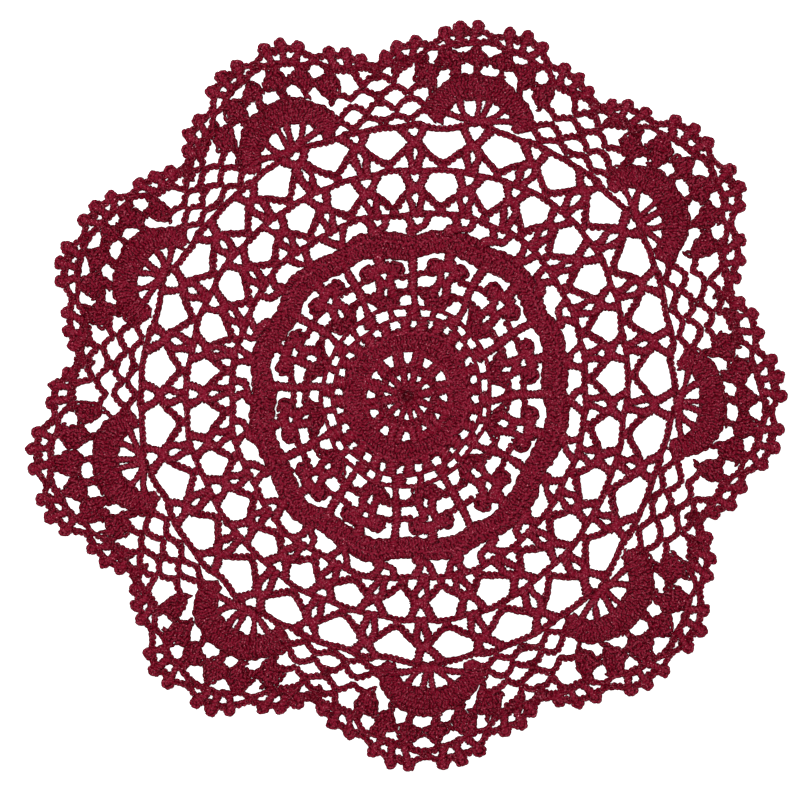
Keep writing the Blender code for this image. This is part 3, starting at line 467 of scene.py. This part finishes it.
class Piece:
    """Swept yarn gathered into one mesh."""

    def __init__(self, name):
        self.name, self.co, self.faces, self.shade, self.n = name, [], [], [], 0

    def add(self, co, shade, along):
        """A batch of closed swept lengths: co is BxNxKx3, shade BxNxK, along BxN places on the yarn."""
        b, n, k = shade.shape
        a = self.n + np.arange(b * n * k).reshape(b, n, k)
        e = self.n + b * n * k + np.arange(2 * b).reshape(b, 2)
        right = np.roll(a, -1, axis=2)
        quads = np.stack([a[:, :-1], right[:, :-1], right[:, 1:], a[:, 1:]], axis=-1)
        uv = np.zeros(quads.shape + (2,))
        v = np.arange(k + 1) / k
        uv[..., 0:2, 0], uv[..., 2:4, 0] = along[:, :-1, None, None], along[:, 1:, None, None]
        uv[..., 0, 1] = uv[..., 3, 1] = v[:-1]
        uv[..., 1, 1] = uv[..., 2, 1] = v[1:]
        none = np.full((b, k), -1)
        first = np.stack([right[:, 0], a[:, 0], e[:, :1] + 0 * none, none], axis=-1)
        last = np.stack([a[:, -1], right[:, -1], e[:, 1:] + 0 * none, none], axis=-1)
        caps = np.concatenate([first, last]).reshape(-1, 4)
        self.faces += [(quads.reshape(-1, 4), uv.reshape(-1, 4, 2)), (caps, np.zeros((len(caps), 4, 2)))]
        ends = co[:, [0, -1]].mean(axis=2)
        self.co += [co.reshape(-1, 3), ends.reshape(-1, 3)]
        self.shade += [shade.ravel(), shade[:, [0, -1]].mean(axis=2).ravel()]
        self.n += b * n * k + 2 * b

    def sweep(self, path, ring, shade, along):
        """One length along a path in space: ring gives each section's corners, to the right of it and up."""
        t = np.gradient(path, axis=0)
        t /= np.maximum(np.linalg.norm(t, axis=1), 1e-9)[:, None]
        side = np.cross(t, (0.0, 0.0, 1.0))
        side /= np.maximum(np.linalg.norm(side, axis=1), 1e-6)[:, None]
        up = np.cross(side, t)
        co = path[:, None] + ring[..., :1] * side[:, None] + ring[..., 1:] * up[:, None]
        self.add(co[None], shade[None], along[None])

    def ribbon(self, path, half, high=2.6):
        """A flat strip with a square section, wide enough to close the gaps between the stitches over it."""
        path = np.column_stack([path, np.full(len(path), (CORE_LOW + high) / 2)])
        half, h = half + np.zeros(len(path)), (high - CORE_LOW) / 2
        corners = ((1, -1), (1, 1), (-1, 1), (-1, -1))
        ring = np.stack([np.stack([a * half, b * h + 0 * half], axis=-1) for a, b in corners], axis=1)
        # painted shade: the strip is drawn dark, like the hollows under the stitches
        self.sweep(path, ring, np.full((len(path), 4), CORE_SHADE), np.arange(len(path)) * 0.5)

    def slab(self, outline, high=CORE_HIGH):
        """The same under an outline of any form."""
        n = len(outline)
        a = self.n + np.arange(n)
        right = np.roll(a, -1)
        tris = np.array(tessellate_polygon([[(x, y, 0.0) for x, y in outline]]))
        p = outline[tris]
        turned = np.cross(p[:, 1] - p[:, 0], p[:, 2] - p[:, 0]) < 0
        tris[turned] = tris[turned][:, ::-1]
        after = np.roll(outline, -1, axis=0)
        if np.sum(outline[:, 0] * after[:, 1] - outline[:, 1] * after[:, 0]) < 0:
            a, right = right, a
        none = np.full((len(tris), 1), -1)
        top = np.hstack([self.n + n + tris, none])
        underside = np.hstack([self.n + tris[:, ::-1], none])
        sides = np.stack([a, right, right + n, a + n], axis=-1)
        for faces in (top, underside, sides):
            self.faces.append((faces, np.zeros((len(faces), 4, 2))))
        for height in (CORE_LOW, high):
            self.co.append(np.column_stack([outline, np.full(n, height)]))
        # painted shade: the slab is drawn dark, like the hollows under the stitches
        self.shade += [np.full(2 * n, CORE_SHADE)]
        self.n += 2 * n

    def build(self, material):
        """The mesh in metres, its UV map "Yarn" and its shades, the painted light and shade of the yarn, as
        an object of the piece's name.
        """
        co = np.vstack(self.co)
        co[:, 2] = np.maximum(co[:, 2], FLOOR)
        co = (co - (MIDDLE[0], MIDDLE[1], 0.0)) * UNIT
        faces = np.concatenate([f for f, _ in self.faces])
        uvs = np.concatenate([u for _, u in self.faces])
        size = np.where(faces[:, 3] < 0, 3, 4)
        keep = np.arange(4)[None] < size[:, None]
        mesh = bpy.data.meshes.new(self.name)
        mesh.vertices.add(len(co))
        mesh.vertices.foreach_set("co", co.ravel().astype(np.float32))
        mesh.loops.add(int(size.sum()))
        mesh.loops.foreach_set("vertex_index", faces[keep].astype(np.int32))
        mesh.polygons.add(len(faces))
        starts = np.concatenate([[0], np.cumsum(size)[:-1]])
        mesh.polygons.foreach_set("loop_start", starts.astype(np.int32))
        mesh.update(calc_edges=True)
        mesh.uv_layers.new(name="Yarn").data.foreach_set("uv", uvs[keep].ravel().astype(np.float32))
        value = np.clip(np.concatenate(self.shade) / FULL_LIGHT, 0, 1)
        shades = mesh.attributes.new("shade", "FLOAT", "POINT")
        shades.data.foreach_set("value", value.astype(np.float32))
        mesh.polygons.foreach_set("use_smooth", np.ones(len(faces), bool))
        mesh.validate()
        mesh.materials.append(material)
        obj = bpy.data.objects.new(self.name, mesh)
        bpy.context.scene.collection.objects.link(obj)
        self.triangles = int((size - 2).sum())
        return obj


def drift(n, size, per=6):
    """n numbers that wander slowly about zero, with a new aim every per steps."""
    knots = RND.normal(0, size, n // per + 4)
    return np.interp(np.arange(n) / per, np.arange(len(knots)), knots)


def flare(s, long):
    """How much wider a stitch is near its ends, where it spreads over what it is worked into."""
    return SWELL * np.exp(-np.maximum(np.minimum(s, long - s), 0) / SWELL_LONG)


def chain(piece, core, points, width):
    """A cord of chain stitches: each loop comes up through the one before, its two legs on top."""
    line = Line(points)
    width = CORD_FULL * width
    core.ribbon(line.at(np.linspace(0, line.long, max(int(line.long / 5), 1) + 1)), 0.30 * width)
    count = max(int(round(line.long / STITCH)), 1)
    step = line.long / count
    spare = PER_STITCH // 3
    t = np.arange(-spare, count * PER_STITCH + spare + 1) / PER_STITCH
    turn = 2 * np.pi * (t + drift(len(t), 0.04))
    swing = np.maximum(width / 2 - PLY, 1.0) * (1 + drift(len(t), 0.10) + flare(step * t, line.long))
    aside = -swing * np.cos(turn) + drift(len(t), 0.25, 12)
    p = line.at(step * t + 0.55 * step * np.sin(turn), aside)
    up = LOW + 0.8 * np.cos(2 * turn) + 0.6 * np.sin(turn) + drift(len(t), 0.3, 14)
    path = np.column_stack([p, up])
    radius = PLY * (1 + drift(len(t), 0.06))
    phi = np.arange(5) / 5 * 2 * np.pi
    ring = radius[:, None, None] * np.stack([np.cos(phi), np.sin(phi)], axis=-1)[None]
    length = np.concatenate([[0], np.cumsum(np.linalg.norm(np.diff(path, axis=0), axis=1))])
    # Painted light and shade: the yarn is drawn lighter the higher it lies and darker towards the cord's
    # sides.
    rim = np.abs(aside[:, None] + ring[..., 0]) / (width / 2)
    shade = up[:, None] + ring[..., 1] + CORD_LIGHT - RIM_SHADE * np.minimum(rim, 1.1)**2
    piece.sweep(path, ring, shade, length / YARN_UV)


CREST = np.array([-0.30, 0.30, 1.0])     # a strand's two crest corners, then the groove beside it
POST_STEP, POST_PITCH = 1.75, 12.5       # distance between a post's sections, and its strands' twist
RUN_IN = 0.30                            # how far a post runs on into what it joins, in its widths


def post(piece, core, points, width, z=MID):
    """A tall stitch: three strands twisted round each other, run a little into what it joins at each end."""
    line = Line(points)
    width = POST_FULL * width
    core.ribbon(line.at(np.linspace(0, line.long, max(int(line.long / 6), 1) + 1)), 0.26 * width)
    n = max(int(np.ceil((line.long + 2 * RUN_IN * width) / POST_STEP)) + 1, 5)
    s = np.linspace(-RUN_IN * width, line.long + RUN_IN * width, n)
    f = np.linspace(0, 1, n)
    path = np.column_stack([line.at(s, drift(n, 0.3, 4)), z + 0.4 * np.sin(np.pi * f) + drift(n, 0.2, 5)])
    half = width / 2 * 1.06 * (1 + drift(n, 0.10, 3) + 0.6 * flare(s, line.long))
    high = np.minimum(half * 0.8, 2.8)
    end = np.minimum(s - s[0], s[-1] - s)
    close = 0.4 + 0.6 * np.sqrt(1 - (1 - np.clip(end / 2.4, 0, 1))**2)
    phase = (np.arange(3)[:, None] + np.where(CREST == 1.0, 0.5, CREST * 0.74)[None]).ravel() / 3
    reach = np.tile(np.where(CREST == 1.0, 0.58, 1.0), 3)
    phi = 2 * np.pi * (phase[None] - (s / POST_PITCH + RND.uniform(0, 1) + drift(n, 0.05))[:, None])
    out = reach[None] * close[:, None]
    ring = np.stack([np.cos(phi) * half[:, None] * out, np.sin(phi) * high[:, None] * out], axis=-1)
    # Painted light and shade: the yarn is drawn lighter the higher it lies, darker in the grooves between its
    # strands and towards the post's sides.
    groove_shade = GROOVE_SHADE * (reach[None] < 0.9)
    shade = path[:, 2:] + ring[..., 1] - groove_shade + POST_LIGHT - RIM_SHADE * (np.cos(phi) * reach[None])**2
    piece.sweep(path, ring, shade, s / YARN_UV + RND.uniform(0, 5))


BEAD = np.array([(-1.0, 0.42), (-0.40, 0.97), (0.40, 0.97), (1.0, 0.42)])   # along, reach
SIDES = 4
LOOP_HIGH, LOOP_DIVE = 1.6, 1.2          # half height of a loop's yarn, and how far its ends go down
# Length and width of a loop in a row, in a row's edge and raised ridge, in an area and in an area's edge.
ROW_LOOP, ROW_EDGE, RIDGE_LOOP = (7.2, 3.4), (7.8, 4.2), (7.6, 3.9)
AREA_LOOP, AREA_EDGE = (6.4, 3.7), (7.4, 4.1)
# Distance between neighbouring loops there.
ROW_SPACE, ROW_EDGE_SPACE, AREA_SPACE, AREA_EDGE_SPACE, PICOT_SPACE = 3.0, 5.2, 3.2, 4.8, 4.2


def loops(piece, at, turn, size, z=TOP, loose=0.42, dim=0.0, ends=0.0):
    """Short arched lengths of yarn, one at each place: what shows of a stitch in close work.

    loose is how far they stray from the angle turn; dim is painted shade that darkens them, and below zero
    painted light that brightens them; ends is painted shade on their two ends, where they dip down.
    """
    at = np.asarray(at, float)
    b = len(at)
    if not b:
        return
    at = at + RND.normal(0, 0.35, (b, 2))
    turn = turn + RND.normal(0, loose, b)
    long = size[0] * RND.uniform(0.88, 1.1, b)
    wide = size[1] * RND.uniform(0.88, 1.08, b)
    z = z + RND.normal(0, 0.35, b)
    f, reach = BEAD.T
    bow = RND.normal(0, 0.5, b)
    ahead = np.stack([np.cos(turn), np.sin(turn)], axis=-1)
    side = np.stack([ahead[:, 1], -ahead[:, 0]], axis=-1)
    flat = (at[:, None] + ahead[:, None] * (long[:, None] / 2 * f[None])[..., None]
            + side[:, None] * (bow[:, None] * (1 - f**2)[None])[..., None])
    up = z[:, None] - LOOP_DIVE * (f**2)[None]
    phi = np.arange(SIDES) / SIDES * 2 * np.pi
    across = (wide[:, None] / 2 * reach[None])[..., None] * np.cos(phi)
    rise = (LOOP_HIGH * reach)[None, :, None] * np.sin(phi)
    co = np.empty((b, len(f), SIDES, 3))
    co[..., :2] = flat[:, :, None] + side[:, None, None] * across[..., None]
    co[..., 2] = up[..., None] + rise
    along = RND.uniform(0, 5, b)[:, None] + (long[:, None] / (2 * YARN_UV)) * f[None]
    # Painted light: the yarn is drawn lighter the higher it lies, each loop a little differently, with
    # painted shade from dim and at the ends.
    light = RND.normal(LOOP_LIGHT - dim, 0.4, b)
    piece.add(co, 0.5 * co[..., 2] + light[:, None, None] - ends * (f**2)[None, :, None], along)


ROW_EDGE_IN, ROW_ROOM = 2.0, 3.2         # from an edge to the row along it, and to where the other rows begin


def close_rows(piece, core, where, rows, a0, a1, z=TOP, ridge=None, deep=0.0, light=0.3):
    """Rows of stitches between the edges where(a, 0) and where(a, 1), each edge finished with a row along it.

    ridge is the row that is worked as a raised chain, deep is painted shade that darkens the low edge, and
    light is painted light that brightens the rows.
    """
    probe = np.linspace(a0, a1, 120)
    low, high = (np.array([where(a, out) for a in probe]) for out in (0.0, 1.0))
    wide = np.hypot(*(high - low).T)
    core.ribbon((low + high) / 2, wide / 2 - 1.2, high=3.0)

    def line_at(inward):
        """The line inward units from the low edge, or from the high one if below zero."""
        f = np.where(inward >= 0, inward / wide, 1 + inward / wide)[:, None]
        return Line(low + (high - low) * f)

    for edge in (ROW_EDGE_IN, -ROW_EDGE_IN):
        line = line_at(edge + 0 * wide)
        n = max(int(round(line.long / ROW_EDGE_SPACE)), 3)
        s = (np.arange(n) + RND.uniform(0, 1)) / n * line.long
        turn = line.turn(s) + np.where(np.arange(n) % 2 == 0, 0.2, -0.2)
        # painted shade on the edge rows, deeper along the low edge by deep
        dark = EDGE_SHADE + (deep if edge > 0 else 0.0)
        loops(piece, line.at(s), turn, ROW_EDGE, z - 0.3, loose=0.15, dim=dark)
    seam = rows - 1 if ridge is None else ridge - 1
    for j in range(rows):
        f = (j + 0.5) / rows
        apart = 0.0 if ridge is None else (-0.5 if j <= ridge else 0.6)
        line = line_at(ROW_ROOM + apart + (wide - 2 * ROW_ROOM) * f)
        n = max(int(round(line.long / ROW_SPACE)), 3)
        s = (np.arange(n) + 0.5 * (j % 2) + 0.25) / n * line.long
        turn = line.turn(s)
        if j == ridge:
            side = np.where(np.arange(n) % 2 == 0, 0.5, -0.5)
            at = line.at(s, side * 1.6)
            loops(piece, at, turn + side, RIDGE_LOOP, z + 0.8, loose=0.2, dim=-light)
        else:
            across = turn + np.pi / 2 + (0.4 if j % 2 == 0 else -0.4)
            # painted shade at the ends of the loops where rows meet, strongest in the seam row, which draws a
            # dark line beside the ridge or the edge row
            dark = 4.0 if j == seam else 1.3
            loops(piece, line.at(s), across, ROW_LOOP, z, loose=0.24, dim=-light, ends=dark)


def edge_distance(points, polygon):
    """Distance to the polygon's edge, below zero outside."""
    a, b = polygon, np.roll(polygon, -1, axis=0)
    e = b - a
    w = points[:, None] - a[None]
    f = np.clip((w * e).sum(axis=-1) / np.maximum((e**2).sum(axis=-1), 1e-9), 0, 1)
    near = np.hypot(*np.moveaxis(w - f[..., None] * e, -1, 0)).min(axis=1)
    x, y = points[:, :1], points[:, 1:]
    rise = np.where(e[:, 1] == 0, 1e-9, e[:, 1])
    cross = ((a[:, 1] > y) != (b[:, 1] > y)) & (x < a[:, 0] + (y - a[:, 1]) * e[:, 0] / rise)
    return np.where(cross.sum(axis=1) % 2 == 1, near, -near)


AREA_EDGE_IN, AREA_ROOM = 1.6, 3.0       # from the outline to the row along it, and to the other stitches
APEX_BACK, FAN_OUT = 14.0, 2.2           # how far behind the foot they fan out from, and to what angle
AREA_PITCH = 3.9                         # from one of their rows to the next


def close_area(piece, core, polygon, foot, z=TOP, dome=0.0):
    """Close work inside an outline: stitches that fan out from its foot, and a row of them along its edge."""
    polygon = np.asarray(polygon, float)
    middle = polygon.mean(axis=0)
    axis = middle - foot
    axis = axis / max(np.hypot(*axis), 1e-9)
    apex = foot - APEX_BACK * axis
    line = Line(np.vstack([polygon, polygon[:1]]))
    n = max(int(round(line.long / AREA_EDGE_SPACE)), 4)
    s = (np.arange(n) + 0.5) / n * line.long
    right_is_inside = np.median(edge_distance(line.at(s, AREA_EDGE_IN), polygon)) > 0
    inward = AREA_EDGE_IN if right_is_inside else -AREA_EDGE_IN
    ring = line.at(s, inward)
    ok = edge_distance(ring, polygon) > 0.9
    # painted shade on the row along the outline
    loops(piece, ring[ok], line.turn(s[ok]), AREA_EDGE, z - 0.4, loose=0.2, dim=EDGE_SHADE)
    s = np.linspace(0, line.long, 36)[:-1]
    ring = line.at(s, inward * 0.5)
    ring = ring[edge_distance(ring, polygon) > 0.3]
    core.slab(middle + 0.84 * (ring - middle))
    reach = np.hypot(*(polygon - apex).T).max()
    base = np.arctan2(axis[1], axis[0])
    for j, q in enumerate(np.arange(10.0, reach, AREA_PITCH)):
        b = (np.arange(-48, 49) + 0.5 * (j % 2)) * AREA_SPACE / q
        b = b[np.abs(b) < FAN_OUT]
        at = apex + q * np.column_stack([np.cos(base + b), np.sin(base + b)])
        inside = edge_distance(at, polygon)
        ok = inside > AREA_ROOM
        turn = base + b + (0.5 if j % 2 else -0.5)
        loops(piece, at[ok], turn[ok], AREA_LOOP, z + dome * np.clip(inside[ok] / 6, 0, 1))


def ball(piece, core, x, y, width):
    """A picot: yarn coiled over itself into a small ball, in an outer ring and a raised inner one."""
    spin = RND.uniform(0, 2 * np.pi)
    r = width / 2 + 0.6
    b = np.linspace(0, 2 * np.pi, 11)[:-1]
    core.slab(np.column_stack([x + 0.82 * r * np.cos(b), y + 0.82 * r * np.sin(b)]))
    for radius, least, up in ((r - 2.0, 5, 0.0), (r - 5.0, 2, 1.6)):
        count = max(int(round(2 * np.pi * radius / PICOT_SPACE)), least)
        b = spin + np.arange(count) / count * 2 * np.pi
        at = np.column_stack([x + radius * np.cos(b), y + radius * np.sin(b)])
        size = (min(6.6, radius * 1.7 + 2.4), 4.5)
        loops(piece, at, b + np.pi / 2 + 0.12, size, MID + up, loose=0.12)


POPCORN_RADIUS, POPCORN_DOME = 9.2, 1.2


def popcorn(piece, core, line):
    """A cluster gathered into a round, domed knot."""
    at = (line[0] + line[-1]) / 2
    turns = np.linspace(0, 2 * np.pi, 25)[:-1]
    outline = [at + POPCORN_RADIUS * np.array([np.cos(q), np.sin(q)]) for q in turns]
    close_area(piece, core, outline, at * 0.97, TOP + 0.6, POPCORN_DOME)


CENTRE_REACH, BAND_REACH = 136, 213      # radii to which the centre's and the band's pieces go


def work(drawn):
    """The chart worked in yarn: the pieces by name."""
    names = ["doily_core", "centre_rounds", "band_round"] + ["fan_%d" % (k + 1) for k in range(9)]
    pieces = {name: Piece(name) for name in names}
    core = pieces["doily_core"]
    middle, band = pieces["centre_rounds"], pieces["band_round"]

    def owner(x, y):
        """The piece of a place: the centre, the band with the first net round, or the nearest fan."""
        r = np.hypot(x, y)
        if r < CENTRE_REACH:
            return middle
        if r < BAND_REACH:
            return band
        turn = (np.degrees(np.arctan2(x, y)) - FIRST_FAN) % 360
        return pieces["fan_%d" % (int(round(turn / 40)) % 9 + 1)]

    def rounds(inner, outer):
        """The edges of a round between two radii, each a number or a function of the angle."""
        def where(a, out):
            low, high = (edge(a) if callable(edge) else edge for edge in (inner, outer))
            return np.array(place(a, low + (high - low) * out)).ravel()
        return where

    dimple = np.arange(0, 360, 30.0)
    core.slab(np.column_stack(place(dimple, np.full(12, 6.5))), high=1.2)
    # deep is painted shade round the dimple at the centre
    close_rows(middle, core, rounds(3.6, 15.6), 2, 0, 360, LOW, deep=3.0)
    close_rows(middle, core, rounds(22.8, 32.0), 1, 0, 360)
    # light is painted light that lifts the rows of the centre and the band
    close_rows(middle, core, rounds(45.0, 68.0), 4, 0, 360, ridge=3, light=1.0)
    close_rows(band, core, rounds(band_inner, band_outer), 5, 0, 360, ridge=3, light=0.6)
    for k in range(9):
        def crescent(b, out, x=FIRST_FAN + 40 * k):
            a, r = pol(*ell(b, out))
            return np.array(place(a + x, r)).ravel()

        close_rows(pieces["fan_%d" % (k + 1)], core, crescent, 5, -96, 96)
    for polygon, corners in drawn.areas:
        close_area(owner(*polygon.mean(axis=0)), core, polygon, (corners[0] + corners[1]) / 2)
    for kind, width, line in drawn.strands:
        piece = owner(*line[len(line) // 2])
        if kind == "round":
            shared_round([owner(*p) for p in line], core, line, width)
        elif kind == "chain":
            chain(piece, core, line, width)
        elif kind == "post":
            post(piece, core, line, width)
        elif kind == "raised":
            post(piece, core, line, width, TOP)
        elif kind == "popcorn":
            popcorn(piece, core, line)
        elif kind == "picot":
            ball(piece, core, *line[0], width)
    return pieces


def shared_round(owners, core, line, width):
    """A whole round of chain stitches, shared out among the pieces that it crosses."""
    start = 0
    for n in range(1, len(line) + 1):
        if n == len(line) or owners[n] is not owners[start]:
            if n - start > 1:
                chain(owners[start], core, line[start:n + 1], width)
            start = n


# ---- material ----

# Painted shade and light: base colours from the deepest groove, drawn darkest, to the crest of the yarn,
# drawn lightest; then the painted highlights, glints of its fibres.
YARN_SHADE_STOPS = (
    # position, linear colour: first and last, then those between
    (0.14, (0.046, 0.0002, 0.0026, 1)),
    (1.0, (0.160, 0.0055, 0.0185, 1)),
    (0.44, (0.074, 0.0004, 0.0044, 1)),
    (0.74, (0.110, 0.0012, 0.0085, 1)),
)
PAINTED_GLINT_STOPS = (
    (0.53, (0, 0, 0, 1)),
    (0.84, (0.70, 0.42, 0.46, 1)),
    (0.72, (0.135, 0.037, 0.053, 1)),
)
PATCH_SCALE, GLINT_SCALE = 520.0, 2600.0     # to a metre: patches of uneven dye, and single painted highlights, glints
PLY_WAVE = 0.25                              # height of the plies' wave, in shade: painted shade in the ply grooves, and their bump


def set_stops(ramp, stops):
    """The ramp's own two stops moved to the first two given, and the others added."""
    for element, (position, colour) in zip(ramp.elements, stops[:2]):
        element.position, element.color = position, colour
    for position, colour in stops[2:]:
        ramp.elements.new(position).color = colour


def yarn_material():
    """Crimson cotton with painted light and shade: drawn lighter the higher it lies and darker on its sides
    and in its ply grooves, with twisted plies, fibres, uneven dye and small painted glints.
    """
    mat = bpy.data.materials.new("crimson_cotton_yarn")
    mat.use_nodes = True
    t = mat.node_tree
    link = t.links.new
    shader = t.nodes["Principled BSDF"]
    shader.inputs["Roughness"].default_value = 0.72
    shader.inputs["Specular IOR Level"].default_value = 0.005

    def node(kind, *links, **settings):
        """A shader node with its inputs in order, each a socket or a value."""
        made = t.nodes.new("ShaderNode" + kind)
        for key, value in settings.items():
            setattr(made, key, value)
        for n, source in enumerate(links):
            if isinstance(source, (int, float)):
                made.inputs[n].default_value = source
            else:
                link(source, made.inputs[n])
        return made

    def noise(where, scale, detail):
        """The value of a noise texture at where."""
        made = node("TexNoise", where)
        made.inputs["Scale"].default_value, made.inputs["Detail"].default_value = scale, detail
        return made.outputs["Fac"]

    uv = node("UVMap", uv_map="Yarn").outputs["UV"]
    # painted light and shade from the heights in the "shade" attribute
    painted_shade = node("Attribute", attribute_name="shade").outputs["Fac"]
    split = node("SeparateXYZ", uv)
    # the plies, twisted round each other: a wave that runs along and round the yarn
    spiral = node("Math", split.outputs["X"], 1.1, split.outputs["Y"], operation="MULTIPLY_ADD")
    ply = node("Math", spiral.outputs[0], PLY_WAVE, operation="PINGPONG")
    stretched = node("Mapping", uv)
    stretched.inputs["Scale"].default_value = (4.0, 16.0, 1.0)
    fibre = noise(stretched.outputs[0], 2.0, 2.0)
    where = node("TexCoord").outputs["Object"]
    patch = noise(where, PATCH_SCALE, 2.0)
    glint_noise = noise(where, GLINT_SCALE, 1.0)
    uneven = node("Math", patch, 0.7, -0.35, operation="MULTIPLY_ADD")
    # painted shade in the grooves between the plies
    groove_shade = node("Math", ply.outputs[0], 1.0, -0.12, operation="MULTIPLY_ADD")
    total = node("Math", uneven.outputs[0], painted_shade, operation="ADD")
    total = node("Math", total.outputs[0], groove_shade.outputs[0], operation="ADD")
    # painted shade: the sides of the yarn are drawn darker than its upper face, like yarn turned away from
    # the light above
    side_shade = node("SeparateXYZ", node("NewGeometry").outputs["Normal"])
    side_shade = node("MapRange", side_shade.outputs["Z"], 0.0, 0.85, -0.34, 0.04)
    total = node("Math", total.outputs[0], side_shade.outputs[0], operation="ADD")
    colour = node("ValToRGB", total.outputs[0])
    set_stops(colour.color_ramp, YARN_SHADE_STOPS)
    # painted highlights: small glints added onto the base colour
    painted_glint = node("ValToRGB", glint_noise)
    set_stops(painted_glint.color_ramp, PAINTED_GLINT_STOPS)
    mix = node("Mix", data_type="RGBA", blend_type="ADD")
    mix.inputs["Factor"].default_value = 1.0
    link(colour.outputs["Color"], mix.inputs["A"])
    link(painted_glint.outputs["Color"], mix.inputs["B"])
    link(mix.outputs["Result"], shader.inputs["Base Color"])
    height = node("Math", fibre, 0.10, ply.outputs[0], operation="MULTIPLY_ADD")
    bump = node("Bump")
    bump.inputs["Strength"].default_value, bump.inputs["Distance"].default_value = 0.6, 0.00025
    link(height.outputs[0], bump.inputs["Height"])
    link(bump.outputs["Normal"], shader.inputs["Normal"])
    return mat


# ---- stage ----

FLOOR_DROP = 0.0002          # metres that the floor lies below the yarn
LIGHTS = (
    # name, place, diameter and power of a round lamp that faces the doily
    ("key", (-0.45, 0.45, 1.1), 0.5, 13.0),
    ("fill", (0.6, -0.4, 1.0), 0.9, 5.0),
)
LENS, SENSOR = 150.0, 36.0   # mm
EYE_OVER, EYE_HEIGHT = (-7.7, -4.0), 1.001    # the chart's place under the camera, and metres above it


def floor_and_light():
    """A plain white floor that glows a little, an even white sky, two lamps and the camera straight above."""
    bpy.ops.mesh.primitive_plane_add(size=3.0, location=(0, 0, -FLOOR_DROP))
    floor = bpy.context.object
    floor.name = "floor"
    mat = bpy.data.materials.new("white_floor")
    mat.use_nodes = True
    s = mat.node_tree.nodes["Principled BSDF"]
    s.inputs["Base Color"].default_value = (0.5, 0.5, 0.5, 1)
    s.inputs["Roughness"].default_value = 0.9
    s.inputs["Specular IOR Level"].default_value = 0.1
    s.inputs["Emission Color"].default_value = (1, 1, 1, 1)
    s.inputs["Emission Strength"].default_value = 1.0
    floor.data.materials.append(mat)
    world = bpy.data.worlds.new("studio")
    bpy.context.scene.world = world
    world.use_nodes = True
    world.node_tree.nodes["Background"].inputs["Color"].default_value = (1, 1, 1, 1)
    world.node_tree.nodes["Background"].inputs["Strength"].default_value = 0.6
    for name, where, size, power in LIGHTS:
        light = bpy.data.lights.new(name, "AREA")
        light.shape, light.size, light.energy = "DISK", size, power
        obj = bpy.data.objects.new(name, light)
        bpy.context.scene.collection.objects.link(obj)
        obj.location = where
        obj.rotation_mode = "QUATERNION"
        obj.rotation_quaternion = (-obj.location).to_track_quat("-Z", "Y")
    cam = bpy.data.cameras.new("camera")
    cam.lens, cam.sensor_width = LENS, SENSOR
    cam.clip_start, cam.clip_end = 0.05, 10.0
    eye = bpy.data.objects.new("camera", cam)
    bpy.context.scene.collection.objects.link(eye)
    x, y = ((over - middle) * UNIT for over, middle in zip(EYE_OVER, MIDDLE))
    eye.location = (x, y, EYE_HEIGHT)
    bpy.context.scene.camera = eye
    bpy.context.scene.view_settings.view_transform = "Standard"


def dress():
    """The pieces built and put on their body, the core set apart and the solid's doily hidden."""
    material = yarn_material()
    made = {name: (piece, piece.build(material)) for name, piece in work(chart()).items()}
    for name, (piece, obj) in made.items():
        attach(obj, "root")
        print(name, piece.triangles, "triangles")
    print("total", sum(piece.triangles for piece, _ in made.values()))
    core = made.pop("doily_core")[1]
    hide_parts("doily")


dress()
floor_and_light()
